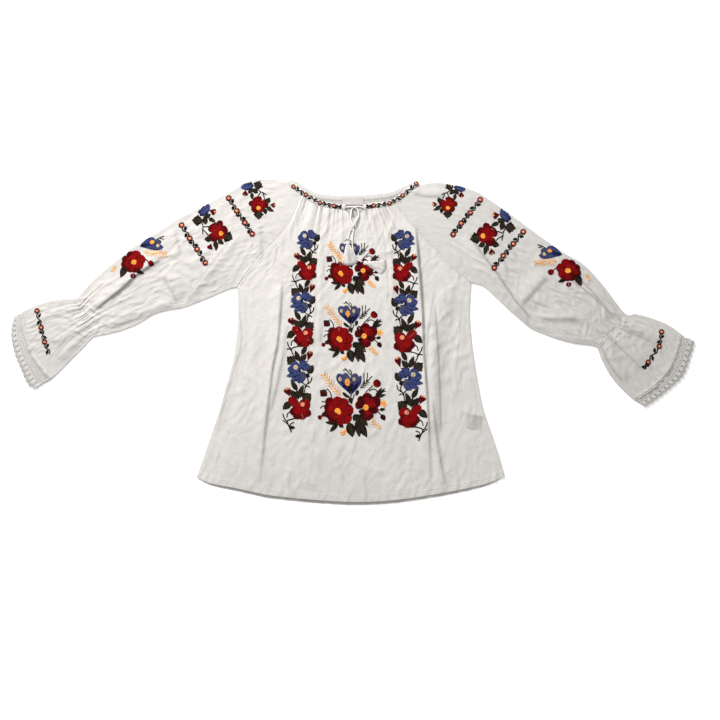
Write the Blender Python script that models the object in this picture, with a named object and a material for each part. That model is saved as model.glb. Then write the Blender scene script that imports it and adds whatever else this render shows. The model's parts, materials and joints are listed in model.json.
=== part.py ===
"""A Romanian ie blouse, laid flat and face up.

X runs across the blouse, Y from the hem to the neck, and Z up from the surface it lies on. Left and
right are as seen from above with the neck away from the viewer. Metres throughout.

The lower layers (back panel, underside of the sleeves, lower lace) lie flat on the surface. The upper
layers lie on them and are one continuous cloth: cloth_top gives its height anywhere in the plan.
"""

import math

import bmesh
import bpy
import numpy as np
from mathutils import Vector
from mathutils.bvhtree import BVHTree

# Thickness and clearances
BACK_WALL = 0.0012
FRONT_WALL = 0.0015
GAP = 0.0004
SEAM_GAP = 0.0003
EDGE_TOP = 0.0032
FOLD_RADIUS = EDGE_TOP / 2

# How the upper layer rises from its edges
LOFT = 0.0036
LOFT_REACH = 0.040
MOUTH_REACH = 0.030
MOUTH_SHARE = 0.25
NECK_LIFT = 0.0013
NECK_LIFT_REACH = 0.026

# Body outline, x and y. Side seams run up from the hem, raglan seams up from the underarm
LEFT_SIDE = [
    (-0.312, -0.271), (-0.297, -0.229), (-0.281, -0.181), (-0.265, -0.133), (-0.252, -0.085),
    (-0.239, -0.037), (-0.232, 0.011), (-0.229, 0.059), (-0.231, 0.108),
]
RIGHT_SIDE = [
    (0.304, -0.269), (0.293, -0.229), (0.277, -0.181), (0.261, -0.133), (0.251, -0.085),
    (0.243, -0.037), (0.237, 0.011), (0.234, 0.059), (0.237, 0.117),
]
LEFT_RAGLAN = [(-0.231, 0.108), (-0.190, 0.166), (-0.155, 0.202), (-0.126, 0.239), (-0.103, 0.285)]
RIGHT_RAGLAN = [(0.237, 0.117), (0.205, 0.143), (0.163, 0.187), (0.125, 0.227), (0.086, 0.275)]
BACK_LEFT_RAGLAN = [(-0.231, 0.108), (-0.190, 0.166), (-0.155, 0.202), (-0.126, 0.239), (-0.101, 0.298)]
BACK_RIGHT_RAGLAN = [(0.237, 0.117), (0.205, 0.143), (0.163, 0.187), (0.125, 0.227), (0.092, 0.290)]
BACK_HEM = [
    (-0.312, -0.271), (-0.292, -0.283), (-0.273, -0.290), (-0.225, -0.300), (-0.177, -0.311),
    (-0.129, -0.3175), (-0.065, -0.3232), (-0.001, -0.3267), (0.055, -0.3252), (0.095, -0.3215),
    (0.135, -0.316), (0.183, -0.308), (0.231, -0.298), (0.262, -0.290), (0.284, -0.281), (0.304, -0.269),
]
FRONT_HEM_RISE = 0.006

# Neck: the middle of the drawstring casing, from the shoulder fold to the slit on either side
FRONT_NECK_LEFT = [
    (-0.126, 0.3228), (-0.113, 0.308), (-0.097, 0.295), (-0.069, 0.278), (-0.037, 0.271), (-0.014, 0.268),
]
FRONT_NECK_RIGHT = [
    (0.022, 0.268), (0.041, 0.272), (0.073, 0.276), (0.099, 0.291), (0.115, 0.305), (0.1325, 0.3175),
]
BACK_NECK = [
    (-0.1225, 0.3185), (-0.105, 0.309), (-0.085, 0.297), (-0.063, 0.290), (-0.025, 0.287), (0.010, 0.287),
    (0.045, 0.289), (0.078, 0.294), (0.098, 0.3015), (0.115, 0.3095), (0.1295, 0.3165),
]
CASING_WIDTH = 0.011
CASING_HEIGHT = 0.0028
CASING_FLOOR = 0.0034
CASING_DROP = 0.0012
BACK_CASING_HEIGHT = 0.0016
SLIT_TIP = (0.003, 0.246)

# Sleeves: a row for each section, the underarm edge and the shoulder edge of the flat tube
SLEEVE_COLUMNS = ("section", "under_x", "under_y", "over_x", "over_y")
LEFT_SLEEVE = [
    ("armhole", -0.231, 0.108, -0.1322, 0.3208),
    ("shoulder", -0.251, 0.103, -0.165, 0.325),
    ("cap", -0.281, 0.090, -0.206, 0.322),
    ("upper_arm", -0.313, 0.077, -0.249, 0.297),
    ("biceps", -0.341, 0.067, -0.299, 0.271),
    ("above_tuck", -0.369, 0.062, -0.345, 0.248),
    ("tuck", -0.397, 0.054, -0.386, 0.221),
    ("elbow", -0.429, 0.035, -0.430, 0.194),
    ("forearm", -0.461, 0.022, -0.468, 0.165),
    ("lower_arm", -0.493, 0.014, -0.510, 0.131),
    ("above_cinch", -0.509, 0.011, -0.536, 0.105),
    ("cinch", -0.520, 0.007, -0.551, 0.088),
    ("ruffle_root", -0.537, -0.011, -0.573, 0.087),
    ("ruffle", -0.561, -0.035, -0.605, 0.081),
    ("cuff", -0.585, -0.060, -0.638, 0.070),
    ("lace_seam", -0.6045, -0.0775, -0.6666, 0.0565),
]
RIGHT_SLEEVE = [
    ("armhole", 0.237, 0.117, 0.1382, 0.3140),
    ("shoulder", 0.261, 0.110, 0.167, 0.318),
    ("cap", 0.287, 0.087, 0.207, 0.312),
    ("upper_arm", 0.310, 0.065, 0.247, 0.300),
    ("biceps", 0.334, 0.044, 0.285, 0.276),
    ("above_elbow", 0.358, 0.025, 0.319, 0.252),
    ("elbow", 0.387, 0.013, 0.351, 0.228),
    ("below_elbow", 0.415, 0.003, 0.387, 0.202),
    ("forearm", 0.443, -0.004, 0.425, 0.176),
    ("lower_arm", 0.467, -0.007, 0.463, 0.153),
    ("above_cinch", 0.479, -0.009, 0.503, 0.110),
    ("cinch", 0.489, -0.014, 0.543, 0.058),
    ("ruffle_root", 0.499, -0.039, 0.567, 0.055),
    ("ruffle", 0.517, -0.071, 0.597, 0.047),
    ("cuff", 0.541, -0.098, 0.631, 0.033),
    ("lace_seam", 0.564, -0.1185, 0.6606, 0.0125),
]
CINCH = "cinch"
CORNER_SHARE = 0.80
CUFF_BULGE = {"left": 0.015, "right": 0.021}

# Folds of the upper layer: the ridge line, its height, and how far it spreads to either hand of
# someone walking from the first point to the last. A negative height is a trough
FOLD_COLUMNS = ("path", "height", "left", "right")
FOLDS = [
    # Body
    ([(-0.141, 0.141), (-0.150, 0.010), (-0.164, -0.073), (-0.191, -0.310)], 0.0042, 0.006, 0.017),
    ([(-0.132, 0.040), (-0.148, -0.060), (-0.172, -0.160)], 0.0022, 0.007, 0.010),
    ([(-0.222, 0.090), (-0.214, 0.000), (-0.236, -0.080), (-0.272, -0.215)], -0.0022, 0.012, 0.008),
    ([(0.121, 0.262), (0.130, 0.159), (0.137, 0.067), (0.140, -0.025), (0.147, -0.117), (0.156, -0.312)],
     0.0062, 0.005, 0.022),
    ([(0.152, -0.100), (0.166, -0.209), (0.183, -0.300)], 0.0038, 0.006, 0.009),
    ([(0.186, 0.110), (0.171, 0.020), (0.166, -0.110)], 0.0034, 0.020, 0.020),
    ([(0.206, 0.090), (0.199, 0.000), (0.190, -0.080)], -0.0020, 0.014, 0.016),
    ([(-0.064, 0.205), (-0.066, 0.080), (-0.070, -0.020)], 0.0026, 0.008, 0.008),
    ([(0.067, 0.235), (0.077, 0.143), (0.079, 0.060)], 0.0026, 0.008, 0.008),
    ([(-0.067, -0.209), (-0.081, -0.300)], 0.0018, 0.010, 0.010),
    # Left sleeve
    ([(-0.222, 0.222), (-0.280, 0.148), (-0.336, 0.076)], 0.0036, 0.012, 0.005),
    ([(-0.379, 0.140), (-0.344, 0.080)], 0.0030, 0.012, 0.005),
    ([(-0.366, 0.176), (-0.405, 0.154), (-0.439, 0.130), (-0.462, 0.108), (-0.492, 0.084), (-0.530, 0.054)],
     0.0085, 0.006, 0.022),
    ([(-0.345, 0.083), (-0.422, 0.056), (-0.505, 0.028)], 0.0028, 0.008, 0.010),
    ([(-0.191, 0.240), (-0.187, 0.160)], 0.0024, 0.008, 0.012),
    ([(-0.364, 0.226), (-0.356, 0.193), (-0.350, 0.165)], 0.0030, 0.008, 0.014),
    # Right sleeve
    ([(0.221, 0.222), (0.248, 0.180), (0.281, 0.137), (0.308, 0.097), (0.330, 0.066), (0.368, 0.028)],
     0.0046, 0.006, 0.018),
    ([(0.390, 0.138), (0.328, 0.068)], 0.0038, 0.006, 0.018),
    ([(0.365, 0.050), (0.455, 0.048)], 0.0022, 0.010, 0.008),
    ([(0.430, 0.160), (0.488, 0.104), (0.535, 0.046)], 0.0040, 0.010, 0.010),
    ([(0.420, 0.120), (0.470, 0.085), (0.520, 0.036)], 0.0040, 0.010, 0.012),
    ([(0.401, 0.014), (0.450, 0.005), (0.494, 0.006)], 0.0024, 0.006, 0.008),
    ([(0.116, 0.303), (0.150, 0.295), (0.192, 0.294)], 0.0030, 0.010, 0.006),
    # Ruffles below the cinch
    ([(-0.530, 0.040), (-0.562, 0.020), (-0.600, -0.006)], 0.0034, 0.009, 0.009),
    ([(-0.526, 0.022), (-0.560, -0.006), (-0.592, -0.040)], 0.0034, 0.009, 0.009),
    ([(-0.542, 0.070), (-0.590, 0.060), (-0.640, 0.042)], 0.0030, 0.010, 0.010),
    ([(0.503, 0.002), (0.522, -0.040), (0.552, -0.080)], 0.0036, 0.010, 0.010),
    ([(0.515, 0.018), (0.548, -0.012), (0.590, -0.052)], 0.0030, 0.010, 0.010),
    ([(0.532, 0.040), (0.580, 0.020), (0.630, -0.004)], 0.0030, 0.012, 0.012),
]
FOLD_EDGE_REACH = 0.010
FOLD_END_SHARE = 0.18

# Gathers
NECK_GATHERS = 18
NECK_GATHER_HEIGHT = 0.0030
NECK_GATHER_LENGTH = 0.042
BACK_GATHERS = 20
BACK_GATHER_HEIGHT = 0.0008
CINCH_GATHERS = 8
CINCH_GATHER_HEIGHT = 0.0034
CINCH_ARM_LENGTH = 0.040
CINCH_RUFFLE_LENGTH = 0.026

# Lace: a row of holes near the seam and one in the scallops, whose tips lie along these lines
LACE_TIPS = {
    "left": [
        (-0.634, -0.0955), (-0.6500, -0.0870), (-0.664, -0.0564), (-0.673, -0.0348), (-0.6790, -0.0160),
        (-0.6832, 0.0084), (-0.6822, 0.0300), (-0.6760, 0.0500),
    ],
    "right": [
        (0.5850, -0.1318), (0.5990, -0.1235), (0.6140, -0.1125), (0.6290, -0.1005), (0.6450, -0.0870),
        (0.6610, -0.0710), (0.6710, -0.0510), (0.6770, -0.0310), (0.6826, -0.0130), (0.6848, 0.0000),
    ],
}
LACE_WALL = 0.0012
LACE_SCALLOPS = 10
LACE_SPLIT = 0.48
LACE_HOLE = {"along": 0.24, "out": 0.13}
LACE_SCALLOP_DIP = 0.15
LACE_TOP_FLOOR = 0.0017

# Drawstring: the plan of each free end, from its casing to its tassel. The right one lies under the left
CORD_RADIUS = 0.0015
CORD_STEP = 0.006
CORD_BEVEL = 2
LEFT_CORD = [
    (-0.0134, 0.2680), (-0.0060, 0.2690), (0.0030, 0.2684), (0.0096, 0.2640), (0.0124, 0.2560),
    (0.0116, 0.2480), (0.0078, 0.2412), (0.0028, 0.2326), (-0.0032, 0.2242), (-0.0068, 0.2134),
    (-0.0094, 0.2040),
]
RIGHT_CORD = [
    (0.0214, 0.2680), (0.0130, 0.2698), (0.0052, 0.2692), (-0.0012, 0.2640), (-0.0030, 0.2546),
    (-0.0034, 0.2448), (-0.0008, 0.2364), (0.0022, 0.2314), (0.0024, 0.2230), (0.0004, 0.2110),
    (-0.0004, 0.1980), (0.0020, 0.1790), (0.0100, 0.1640), (0.0192, 0.1590),
]
TASSEL_COLUMNS = ("node", "x", "y", "heading", "length", "spread")
TASSELS = [
    ("tassel_left", -0.0100, 0.2010, math.radians(-84), 0.050, math.radians(20)),
    ("tassel_right", 0.0222, 0.1575, math.radians(-13), 0.046, math.radians(19)),
]
TASSEL_HEAD = {"long": 0.009, "wide": 0.0085, "high": 0.0050, "end_wide": 0.45, "end_high": 0.70}
STRANDS_ACROSS, STRAND_LAYERS, STRAND_STEPS = 13, 2, 3
STRAND_ROOT_INSET = 0.00011
STRAND_TIP = {"half_wide": 0.0010, "half_high": 0.00045, "level": 0.50}

# Labels, half sizes
NECK_LABEL = {"x": 0.001, "y": 0.2800, "half_x": 0.0210, "half_y": 0.0066, "thick": 0.0006}
SIDE_LABEL = {"x": 0.2440, "y": -0.1620, "half_x": 0.0150, "half_y": 0.0140, "thick": 0.0004}

# Resolution of the solids
FRONT_COLUMNS, FRONT_SIDE_ROWS = 60, 9
BACK_COLUMNS, BACK_SIDE_ROWS = 30, 4
RAGLAN_ROWS = {"front": 8, "back": 4}
SLIT_COLUMNS = (27, 30, 33)
NECK_STEPS = {"front": 3, "back": 1}
SLEEVE_TOP, SLEEVE_EDGE, SLEEVE_STATIONS = 20, 2, 22
SLEEVE_UNDER = (1.0, 0.9, 0.8, 0.6, 0.4, 0.2, 0.0)
UNDERARM_SHARE = 0.60


def catmull_rom(points, per_span=12):
    """Dense points on a smooth line through the given ones."""
    p = np.asarray(points, float)
    if len(p) < 3:
        return np.linspace(p[0], p[-1], per_span + 1)
    p = np.vstack([2 * p[0] - p[1], p, 2 * p[-1] - p[-2]])
    t = np.linspace(0, 1, per_span, endpoint=False)[:, None]
    spans = []
    for a, b, c, d in zip(p, p[1:], p[2:], p[3:]):
        spans.append(
            b + 0.5 * t * (c - a + t * (2 * a - 5 * b + 4 * c - d + t * (3 * (b - c) + d - a)))
        )
    return np.vstack([*spans, p[-2:-1]])


def even_steps(points, count):
    """A line's points at even steps along its length."""
    p = np.asarray(points, float)
    along = np.concatenate([[0], np.cumsum(np.linalg.norm(np.diff(p, axis=0), axis=1))])
    want = np.linspace(0, along[-1], count + 1)
    return np.stack([np.interp(want, along, p[:, axis]) for axis in range(p.shape[1])], axis=1)


def by_share(points, shares):
    """A line's points at shares of its list, 0 for the first and 1 for the last."""
    want = np.asarray(shares, float) * (len(points) - 1)
    return np.stack([np.interp(want, np.arange(len(points)), points[:, axis]) for axis in range(2)], axis=1)


def offset(points, distance):
    """The line moved sideways, to the left hand of someone walking along it."""
    p = np.asarray(points, float)
    way = np.gradient(p, axis=0)
    way /= np.linalg.norm(way, axis=1)[:, None]
    return p + distance * np.stack([-way[:, 1], way[:, 0]], axis=1)


def hem_line(layer):
    """A hem as a list of points from left to right. The front one sits a little higher in the middle."""
    line = catmull_rom(BACK_HEM, 4)
    if layer == "front":
        share = np.linspace(-1, 1, len(line))
        line[:, 1] += FRONT_HEM_RISE * (1 - share**4)
    return line


def named(rows, columns):
    """Table rows as dictionaries."""
    return [dict(zip(columns, row)) for row in rows]


def sleeve_edge(rows, side):
    """The points of one edge of a sleeve, under or over, from the table's sections."""
    return [(row[side + "_x"], row[side + "_y"]) for row in named(rows, SLEEVE_COLUMNS)]


def cinch_point(rows, side):
    """Where the elastic crosses one edge of a sleeve."""
    (row,) = [row for row in named(rows, SLEEVE_COLUMNS) if row["section"] == CINCH]
    return np.array([row[side + "_x"], row[side + "_y"]])


def segments(points):
    """The straight steps along a line, as starts and ends."""
    p = np.asarray(points, float)
    return p[:-1], p[1:]


def nearest(p, starts, ends):
    """For each point: distance to the nearest step, its index, share along it, and side."""
    way = ends - starts
    rel = p[:, None, :] - starts[None]
    share = np.clip((rel * way).sum(2) / (way * way).sum(1), 0, 1)
    away = np.linalg.norm(rel - share[..., None] * way, axis=2)
    pick = away.argmin(1)
    row = np.arange(len(p))
    cross = way[pick, 0] * rel[row, pick, 1] - way[pick, 1] * rel[row, pick, 0]
    return away[row, pick], pick, share[row, pick], np.sign(cross)


def distance_to(p, lines):
    """The distance from each point to the nearest of several lines."""
    starts = np.vstack([segments(line)[0] for line in lines])
    ends = np.vstack([segments(line)[1] for line in lines])
    return nearest(p, starts, ends)[0]


def settle(distance, reach):
    """0 at an edge, rising to 1 away from it."""
    return 1 - np.exp(-distance / reach)


NECK_LINES = [catmull_rom(FRONT_NECK_LEFT, 6), catmull_rom(FRONT_NECK_RIGHT, 6)]
SHUT_LINES = [
    catmull_rom(LEFT_SIDE, 3),
    catmull_rom(RIGHT_SIDE, 3),
    *[catmull_rom(sleeve_edge(LEFT_SLEEVE, edge), 4) for edge in ("under", "over")],
    *[catmull_rom(sleeve_edge(RIGHT_SLEEVE, edge), 4) for edge in ("under", "over")],
]
CUFF_LINES = [
    np.array([sleeve_edge(rows, "under")[-1], sleeve_edge(rows, "over")[-1]])
    for rows in (LEFT_SLEEVE, RIGHT_SLEEVE)
]


def fold_relief(p):
    """Height added by the folds in the table."""
    total = np.zeros(len(p))
    for fold in named(FOLDS, FOLD_COLUMNS):
        line = catmull_rom(fold["path"], 6)
        starts, ends = segments(line)
        away, pick, share, side = nearest(p, starts, ends)
        spread = np.where(side > 0, fold["left"], fold["right"])
        along = (pick + share) / len(starts)
        fade = np.clip(np.minimum(along, 1 - along) / FOLD_END_SHARE, 0, 1)
        total += fold["height"] * np.exp(-((away / spread) ** 2)) * fade * fade * (3 - 2 * fade)
    return total


def cloth_top(p):
    """Height of the top of the upper layer at plan points, without the gathers."""
    shut = distance_to(p, SHUT_LINES)
    mouth = distance_to(p, [hem_line("front"), *NECK_LINES, *CUFF_LINES])
    rise = LOFT * settle(shut, LOFT_REACH) * (MOUTH_SHARE + (1 - MOUTH_SHARE) * settle(mouth, MOUTH_REACH))
    neck = NECK_LIFT * np.exp(-distance_to(p, NECK_LINES) / NECK_LIFT_REACH)
    neck *= settle(shut, FOLD_EDGE_REACH)
    folds = fold_relief(p) * settle(shut, FOLD_EDGE_REACH)
    return EDGE_TOP + neck + np.maximum(rise + folds, 0)


def gather_wave(count, share):
    """Unevenly spaced rounded ridges across a gathered edge, from 0 to 1."""
    wander = 0.22 * np.sin(2 * math.pi * 2.3 * share + 0.8) + 0.15 * np.sin(2 * math.pi * 5.1 * share)
    return (0.5 + 0.5 * np.cos(2 * math.pi * (count * share + wander))) ** 1.4


def neck_gathers(p, share):
    """Height of the gathers that hang from the casing, at points with that share across the front."""
    reach = NECK_GATHER_LENGTH * (1 + 0.35 * np.sin(9.0 * share + 1.0) + 0.25 * np.sin(23.0 * share))
    return NECK_GATHER_HEIGHT * gather_wave(NECK_GATHERS, share) * np.exp(-distance_to(p, NECK_LINES) / reach)


def cinch_gathers(rows, p, share):
    """Height of the gathers on both sides of a sleeve's elastic."""
    under, over = cinch_point(rows, "under"), cinch_point(rows, "over")
    across = (over - under) / np.linalg.norm(over - under)
    outward = np.array([-across[1], across[0]]) if over[0] < 0 else np.array([across[1], -across[0]])
    away = (p - under) @ outward
    reach = np.where(away > 0, CINCH_RUFFLE_LENGTH, CINCH_ARM_LENGTH)
    return CINCH_GATHER_HEIGHT * gather_wave(CINCH_GATHERS, share) * np.exp(-np.abs(away) / reach)


def coons(bottom, top, left, right, u, v):
    """A four-sided patch between four rows of plan points, as an array indexed by row and column."""
    u, v = u[None, :, None], v[:, None, None]
    b, t, lo, hi = bottom[None], top[None], left[:, None], right[:, None]
    low_corners = (1 - u) * b[:, :1] + u * b[:, -1:]
    high_corners = (1 - u) * t[:, :1] + u * t[:, -1:]
    return (1 - v) * (b - low_corners) + v * (t - high_corners) + (1 - u) * lo + u * hi


def neck_edges(side, layer):
    """The cloth's edge along the casing, cut where the raglan seam meets it: the sleeve's part first."""
    if layer == "front":
        middle = FRONT_NECK_LEFT if side == "left" else FRONT_NECK_RIGHT
        raglan = LEFT_RAGLAN if side == "left" else RIGHT_RAGLAN
    else:
        middle = BACK_NECK
        raglan = BACK_LEFT_RAGLAN if side == "left" else BACK_RIGHT_RAGLAN
    edge = offset(catmull_rom(middle), -CASING_WIDTH / 2 - GAP)
    if side == "right":
        edge = edge[::-1]
    cut = raglan[-1][0]
    corner = np.array([cut, np.interp(cut, *edge[np.argsort(edge[:, 0])].T)])
    beyond = (edge[:, 0] < cut) if side == "left" else (edge[:, 0] > cut)
    return np.vstack([edge[beyond], [corner]]), np.vstack([[corner], edge[~beyond]])


def raglan_seam(side, layer):
    """The raglan seam's points, from the underarm to the neck, one for each row of the panel."""
    table = {
        ("left", "front"): LEFT_RAGLAN, ("right", "front"): RIGHT_RAGLAN,
        ("left", "back"): BACK_LEFT_RAGLAN, ("right", "back"): BACK_RIGHT_RAGLAN,
    }[side, layer]
    corner = neck_edges(side, layer)[1][0]
    return even_steps(catmull_rom([*table[:-1], corner]), RAGLAN_ROWS[layer])


def body_patch(layer, columns, side_rows):
    """Plan points of the front or back panel and the shares across and up it."""
    u = np.linspace(0, 1, columns + 1)
    up_side = np.linspace(0, UNDERARM_SHARE, side_rows + 1)
    v = np.concatenate([up_side, np.linspace(UNDERARM_SHARE, 1, RAGLAN_ROWS[layer] + 1)[1:]])
    edges = {}
    for side, seam, inward in (("left", LEFT_SIDE, -1), ("right", RIGHT_SIDE, 1)):
        points = np.vstack([even_steps(catmull_rom(seam), side_rows), raglan_seam(side, layer)[1:]])
        edges[side] = offset(points, inward * SEAM_GAP)
    left_neck, right_neck = neck_edges("left", layer)[1], neck_edges("right", layer)[1][::-1]
    if layer == "front":
        ends = [left_neck[-1], np.array(SLIT_TIP), right_neck[0]]
        counts = np.diff([0, *SLIT_COLUMNS, columns])
        runs = [left_neck, np.array(ends[:2]), np.array(ends[1:]), right_neck]
        pieces = [even_steps(run, count) for run, count in zip(runs, counts)]
        top = np.vstack([pieces[0], *[piece[1:] for piece in pieces[1:]]])
    else:
        low, high = left_neck[0], right_neck[-1]
        inside = (left_neck[:, 0] > low[0]) & (left_neck[:, 0] < high[0])
        top = even_steps(np.vstack([[low], left_neck[inside], [high]]), columns)
    top[0], top[-1] = edges["left"][-1], edges["right"][-1]
    bottom = even_steps(hem_line(layer), columns)
    bottom[0], bottom[-1] = edges["left"][0], edges["right"][0]
    plan = coons(bottom, top, edges["left"], edges["right"], u, v)
    return plan, np.broadcast_to(u, plan.shape[:2])


def make_material(name, colour, roughness):
    """A plain finish for the solids."""
    material = bpy.data.materials.new(name)
    material.use_nodes = True
    shader = material.node_tree.nodes["Principled BSDF"]
    shader.inputs["Base Color"].default_value = (*colour, 1)
    shader.inputs["Roughness"].default_value = roughness
    shader.inputs["Metallic"].default_value = 0.0
    return material


def add_object(name, bm, material, collection):
    """A mesh object from a bmesh, shaded smooth but for sharp edges."""
    bmesh.ops.recalc_face_normals(bm, faces=bm.faces)
    mesh = bpy.data.meshes.new(name)
    bm.to_mesh(mesh)
    bm.free()
    mesh.materials.append(material)
    mesh.shade_smooth()
    mesh.set_sharp_from_angle(angle=math.radians(40))
    obj = bpy.data.objects.new(name, mesh)
    collection.objects.link(obj)
    return obj


def cloth_panel(name, plan, top, floor, material, collection):
    """A wall of cloth: a grid at the plan points and top heights, extruded down to the floor heights."""
    rows, columns = top.shape
    bm = bmesh.new()
    bmesh.ops.create_grid(bm, x_segments=columns - 1, y_segments=rows - 1, size=1)
    bm.verts.ensure_lookup_table()
    order = sorted(bm.verts, key=lambda vert: (round(vert.co.y, 5), round(vert.co.x, 5)))
    for vert, (x, y), z in zip(order, plan.reshape(-1, 2), top.reshape(-1)):
        vert.co = (x, y, z)
    depth = {(round(v.co.x, 6), round(v.co.y, 6)): z for v, z in zip(order, floor.reshape(-1))}
    made = bmesh.ops.extrude_face_region(bm, geom=bm.faces[:], use_keep_orig=True)
    for vert in [item for item in made["geom"] if isinstance(item, bmesh.types.BMVert)]:
        vert.co.z = depth[(round(vert.co.x, 6), round(vert.co.y, 6))]
    return add_object(name, bm, material, collection)


def body_panel(layer, material, collection):
    """The front or back panel."""
    if layer == "front":
        plan, u = body_patch(layer, FRONT_COLUMNS, FRONT_SIDE_ROWS)
        flat = plan.reshape(-1, 2)
        top = (cloth_top(flat) + neck_gathers(flat, u.reshape(-1))).reshape(u.shape)
        floor = top - FRONT_WALL
    else:
        plan, u = body_patch(layer, BACK_COLUMNS, BACK_SIDE_ROWS)
        near = np.exp(-distance_to(plan.reshape(-1, 2), [catmull_rom(BACK_NECK, 6)]) / 0.022).reshape(u.shape)
        top = BACK_WALL + BACK_GATHER_HEIGHT * gather_wave(BACK_GATHERS, u) * near
        floor = np.zeros(u.shape)
    return cloth_panel(f"{layer}_panel", plan, top, floor, material, collection)


def closed_loft(rings):
    """A surface through closed rings, which itself closes from the last ring to the first."""
    bm = bmesh.new()
    made = [[bm.verts.new(point) for point in ring] for ring in rings]
    for ring, following in zip(made, made[1:] + made[:1]):
        for i in range(len(ring)):
            j = (i + 1) % len(ring)
            bm.faces.new((ring[i], ring[j], following[j], following[i]))
    return bm


def armhole(side, layer, shares):
    """Where a sleeve starts: up the raglan seam, then along the casing to the shoulder fold."""
    rows = LEFT_SLEEVE if side == "left" else RIGHT_SLEEVE
    seam = raglan_seam(side, layer)
    neck = even_steps(neck_edges(side, layer)[0][::-1], NECK_STEPS[layer])
    along_casing = np.vstack([neck, [rows[0][3:5]]])
    shares = np.asarray(shares, float)
    on_seam = by_share(seam, np.clip(shares / CORNER_SHARE, 0, 1))
    on_neck = by_share(along_casing, np.clip((shares - CORNER_SHARE) / (1 - CORNER_SHARE), 0, 1))
    return np.where((shares <= CORNER_SHARE + 1e-9)[:, None], on_seam, on_neck)


def sleeve_sections(side, layer, shares, stations):
    """Plan points of one layer of a sleeve: a row for each station, a point for each share across."""
    rows = LEFT_SLEEVE if side == "left" else RIGHT_SLEEVE
    s, v = np.asarray(shares, float), np.asarray(stations, float)
    under = by_share(catmull_rom(sleeve_edge(rows, "under")), v)
    over = by_share(catmull_rom(sleeve_edge(rows, "over")), v)
    straight = under[:, None] * (1 - s)[None, :, None] + over[:, None] * s[None, :, None]
    first = np.array([rows[0][1:3], rows[0][3:5]])
    start = armhole(side, layer, s) - first[0] * (1 - s)[:, None] - first[1] * s[:, None]
    chord = over[-1] - under[-1]
    outward = np.array([-chord[1], chord[0]]) / np.linalg.norm(chord)
    outward = -outward if outward[0] * over[-1][0] < 0 else outward
    bulge = CUFF_BULGE[side] * np.sin(math.pi * s)[:, None] * outward
    early = np.clip(1 - v / 0.22, 0, 1)[:, None, None] ** 1.5
    late = np.clip((v - 0.78) / 0.22, 0, 1)[:, None, None] ** 1.5
    return straight + early * start[None] + late * bulge[None]


def sleeve_stations(rows):
    """Shares along a sleeve, closer together round the cinch."""
    count = len(rows) - 1
    cinch = [row[0] for row in rows].index(CINCH) / count
    plain = np.linspace(0, 1, 400)
    weight = 1 + 1.6 * np.exp(-((plain - cinch) / 0.10) ** 2)
    along = np.concatenate([[0], np.cumsum((weight[1:] + weight[:-1]) / 2)])
    return np.interp(np.linspace(0, along[-1], SLEEVE_STATIONS + 1), along, plain)


def half_turn(centre, outward, radius, falling):
    """Points round a fold, between the flat layers."""
    turn = np.linspace(0, math.pi, SLEEVE_EDGE + 2)[1:-1]
    turn = turn[::-1] if falling else turn
    plan = centre + radius * np.outer(np.sin(turn), outward)
    return [(x, y, FOLD_RADIUS - radius * math.cos(angle)) for (x, y), angle in zip(plan, turn)]


def sleeve(side, material, collection):
    """A sleeve, cinched at the wrist: one flat tube of cloth, closed by the underarm seam."""
    rows = LEFT_SLEEVE if side == "left" else RIGHT_SLEEVE
    v = sleeve_stations(rows)
    s_top = np.linspace(0, 1, SLEEVE_TOP + 1)
    s_under = np.array(SLEEVE_UNDER)
    upper = sleeve_sections(side, "front", s_top, v)
    lower = sleeve_sections(side, "back", s_under, v)
    outer_rings, inner_rings = [], []
    for top_row, low_row in zip(upper, lower):
        inward = (top_row[-1] - top_row[0]) / np.linalg.norm(top_row[-1] - top_row[0])
        plan_top, plan_low = [
            row + FOLD_RADIUS * np.interp(s, [0, 0.06, 0.94, 1], [1, 0, 0, -1])[:, None] * inward
            for row, s in ((top_row, s_top), (low_row, s_under))
        ]
        gathers = cinch_gathers(rows, plan_top, s_top) * settle(np.minimum(s_top, 1 - s_top), 0.08)
        height = cloth_top(plan_top) + gathers
        height[[0, -1]] = EDGE_TOP
        for rings, inner in ((outer_rings, False), (inner_rings, True)):
            drop = np.full(len(height), FRONT_WALL if inner else 0.0)
            drop[[0, -1]] = BACK_WALL if inner else 0.0
            over = [(x, y, z) for (x, y), z in zip(plan_top, height - drop)]
            under = [(x, y, BACK_WALL if inner else 0.0) for x, y in plan_low]
            radius = FOLD_RADIUS - (BACK_WALL if inner else 0.0)
            far = half_turn(plan_top[-1], inward, radius, falling=True)
            near = half_turn(plan_top[0], -inward, radius, falling=False)
            rings.append(over + far + under + near)
    return add_object(f"sleeve_{side}", closed_loft(outer_rings + inner_rings[::-1]), material, collection)


def casing(name, middle, floor, height, columns, material, collection):
    """The casing of the drawstring: a flat band with a rounded back, along a plan line."""
    line = even_steps(catmull_rom(middle), columns)
    across = np.array([-0.5, 0.0, 0.5])
    plan = np.stack([offset(line, share * CASING_WIDTH) for share in across], axis=0)
    floors = np.broadcast_to(floor(line[:, 0]), plan.shape[:2])
    crown = np.array([0.55, 1.0, 0.55])
    return cloth_panel(name, plan, floors + height * crown[:, None], floors, material, collection)


def front_casing_floor(x):
    """Underside of the front casing at x, which comes down to the back casing at the shoulder folds."""
    ends = np.array([FRONT_NECK_LEFT[0][0], FRONT_NECK_RIGHT[-1][0]])
    near = np.abs(x[:, None] - ends[None]).min(1)
    return CASING_FLOOR - CASING_DROP * np.exp(-((near / 0.022) ** 2))


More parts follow.
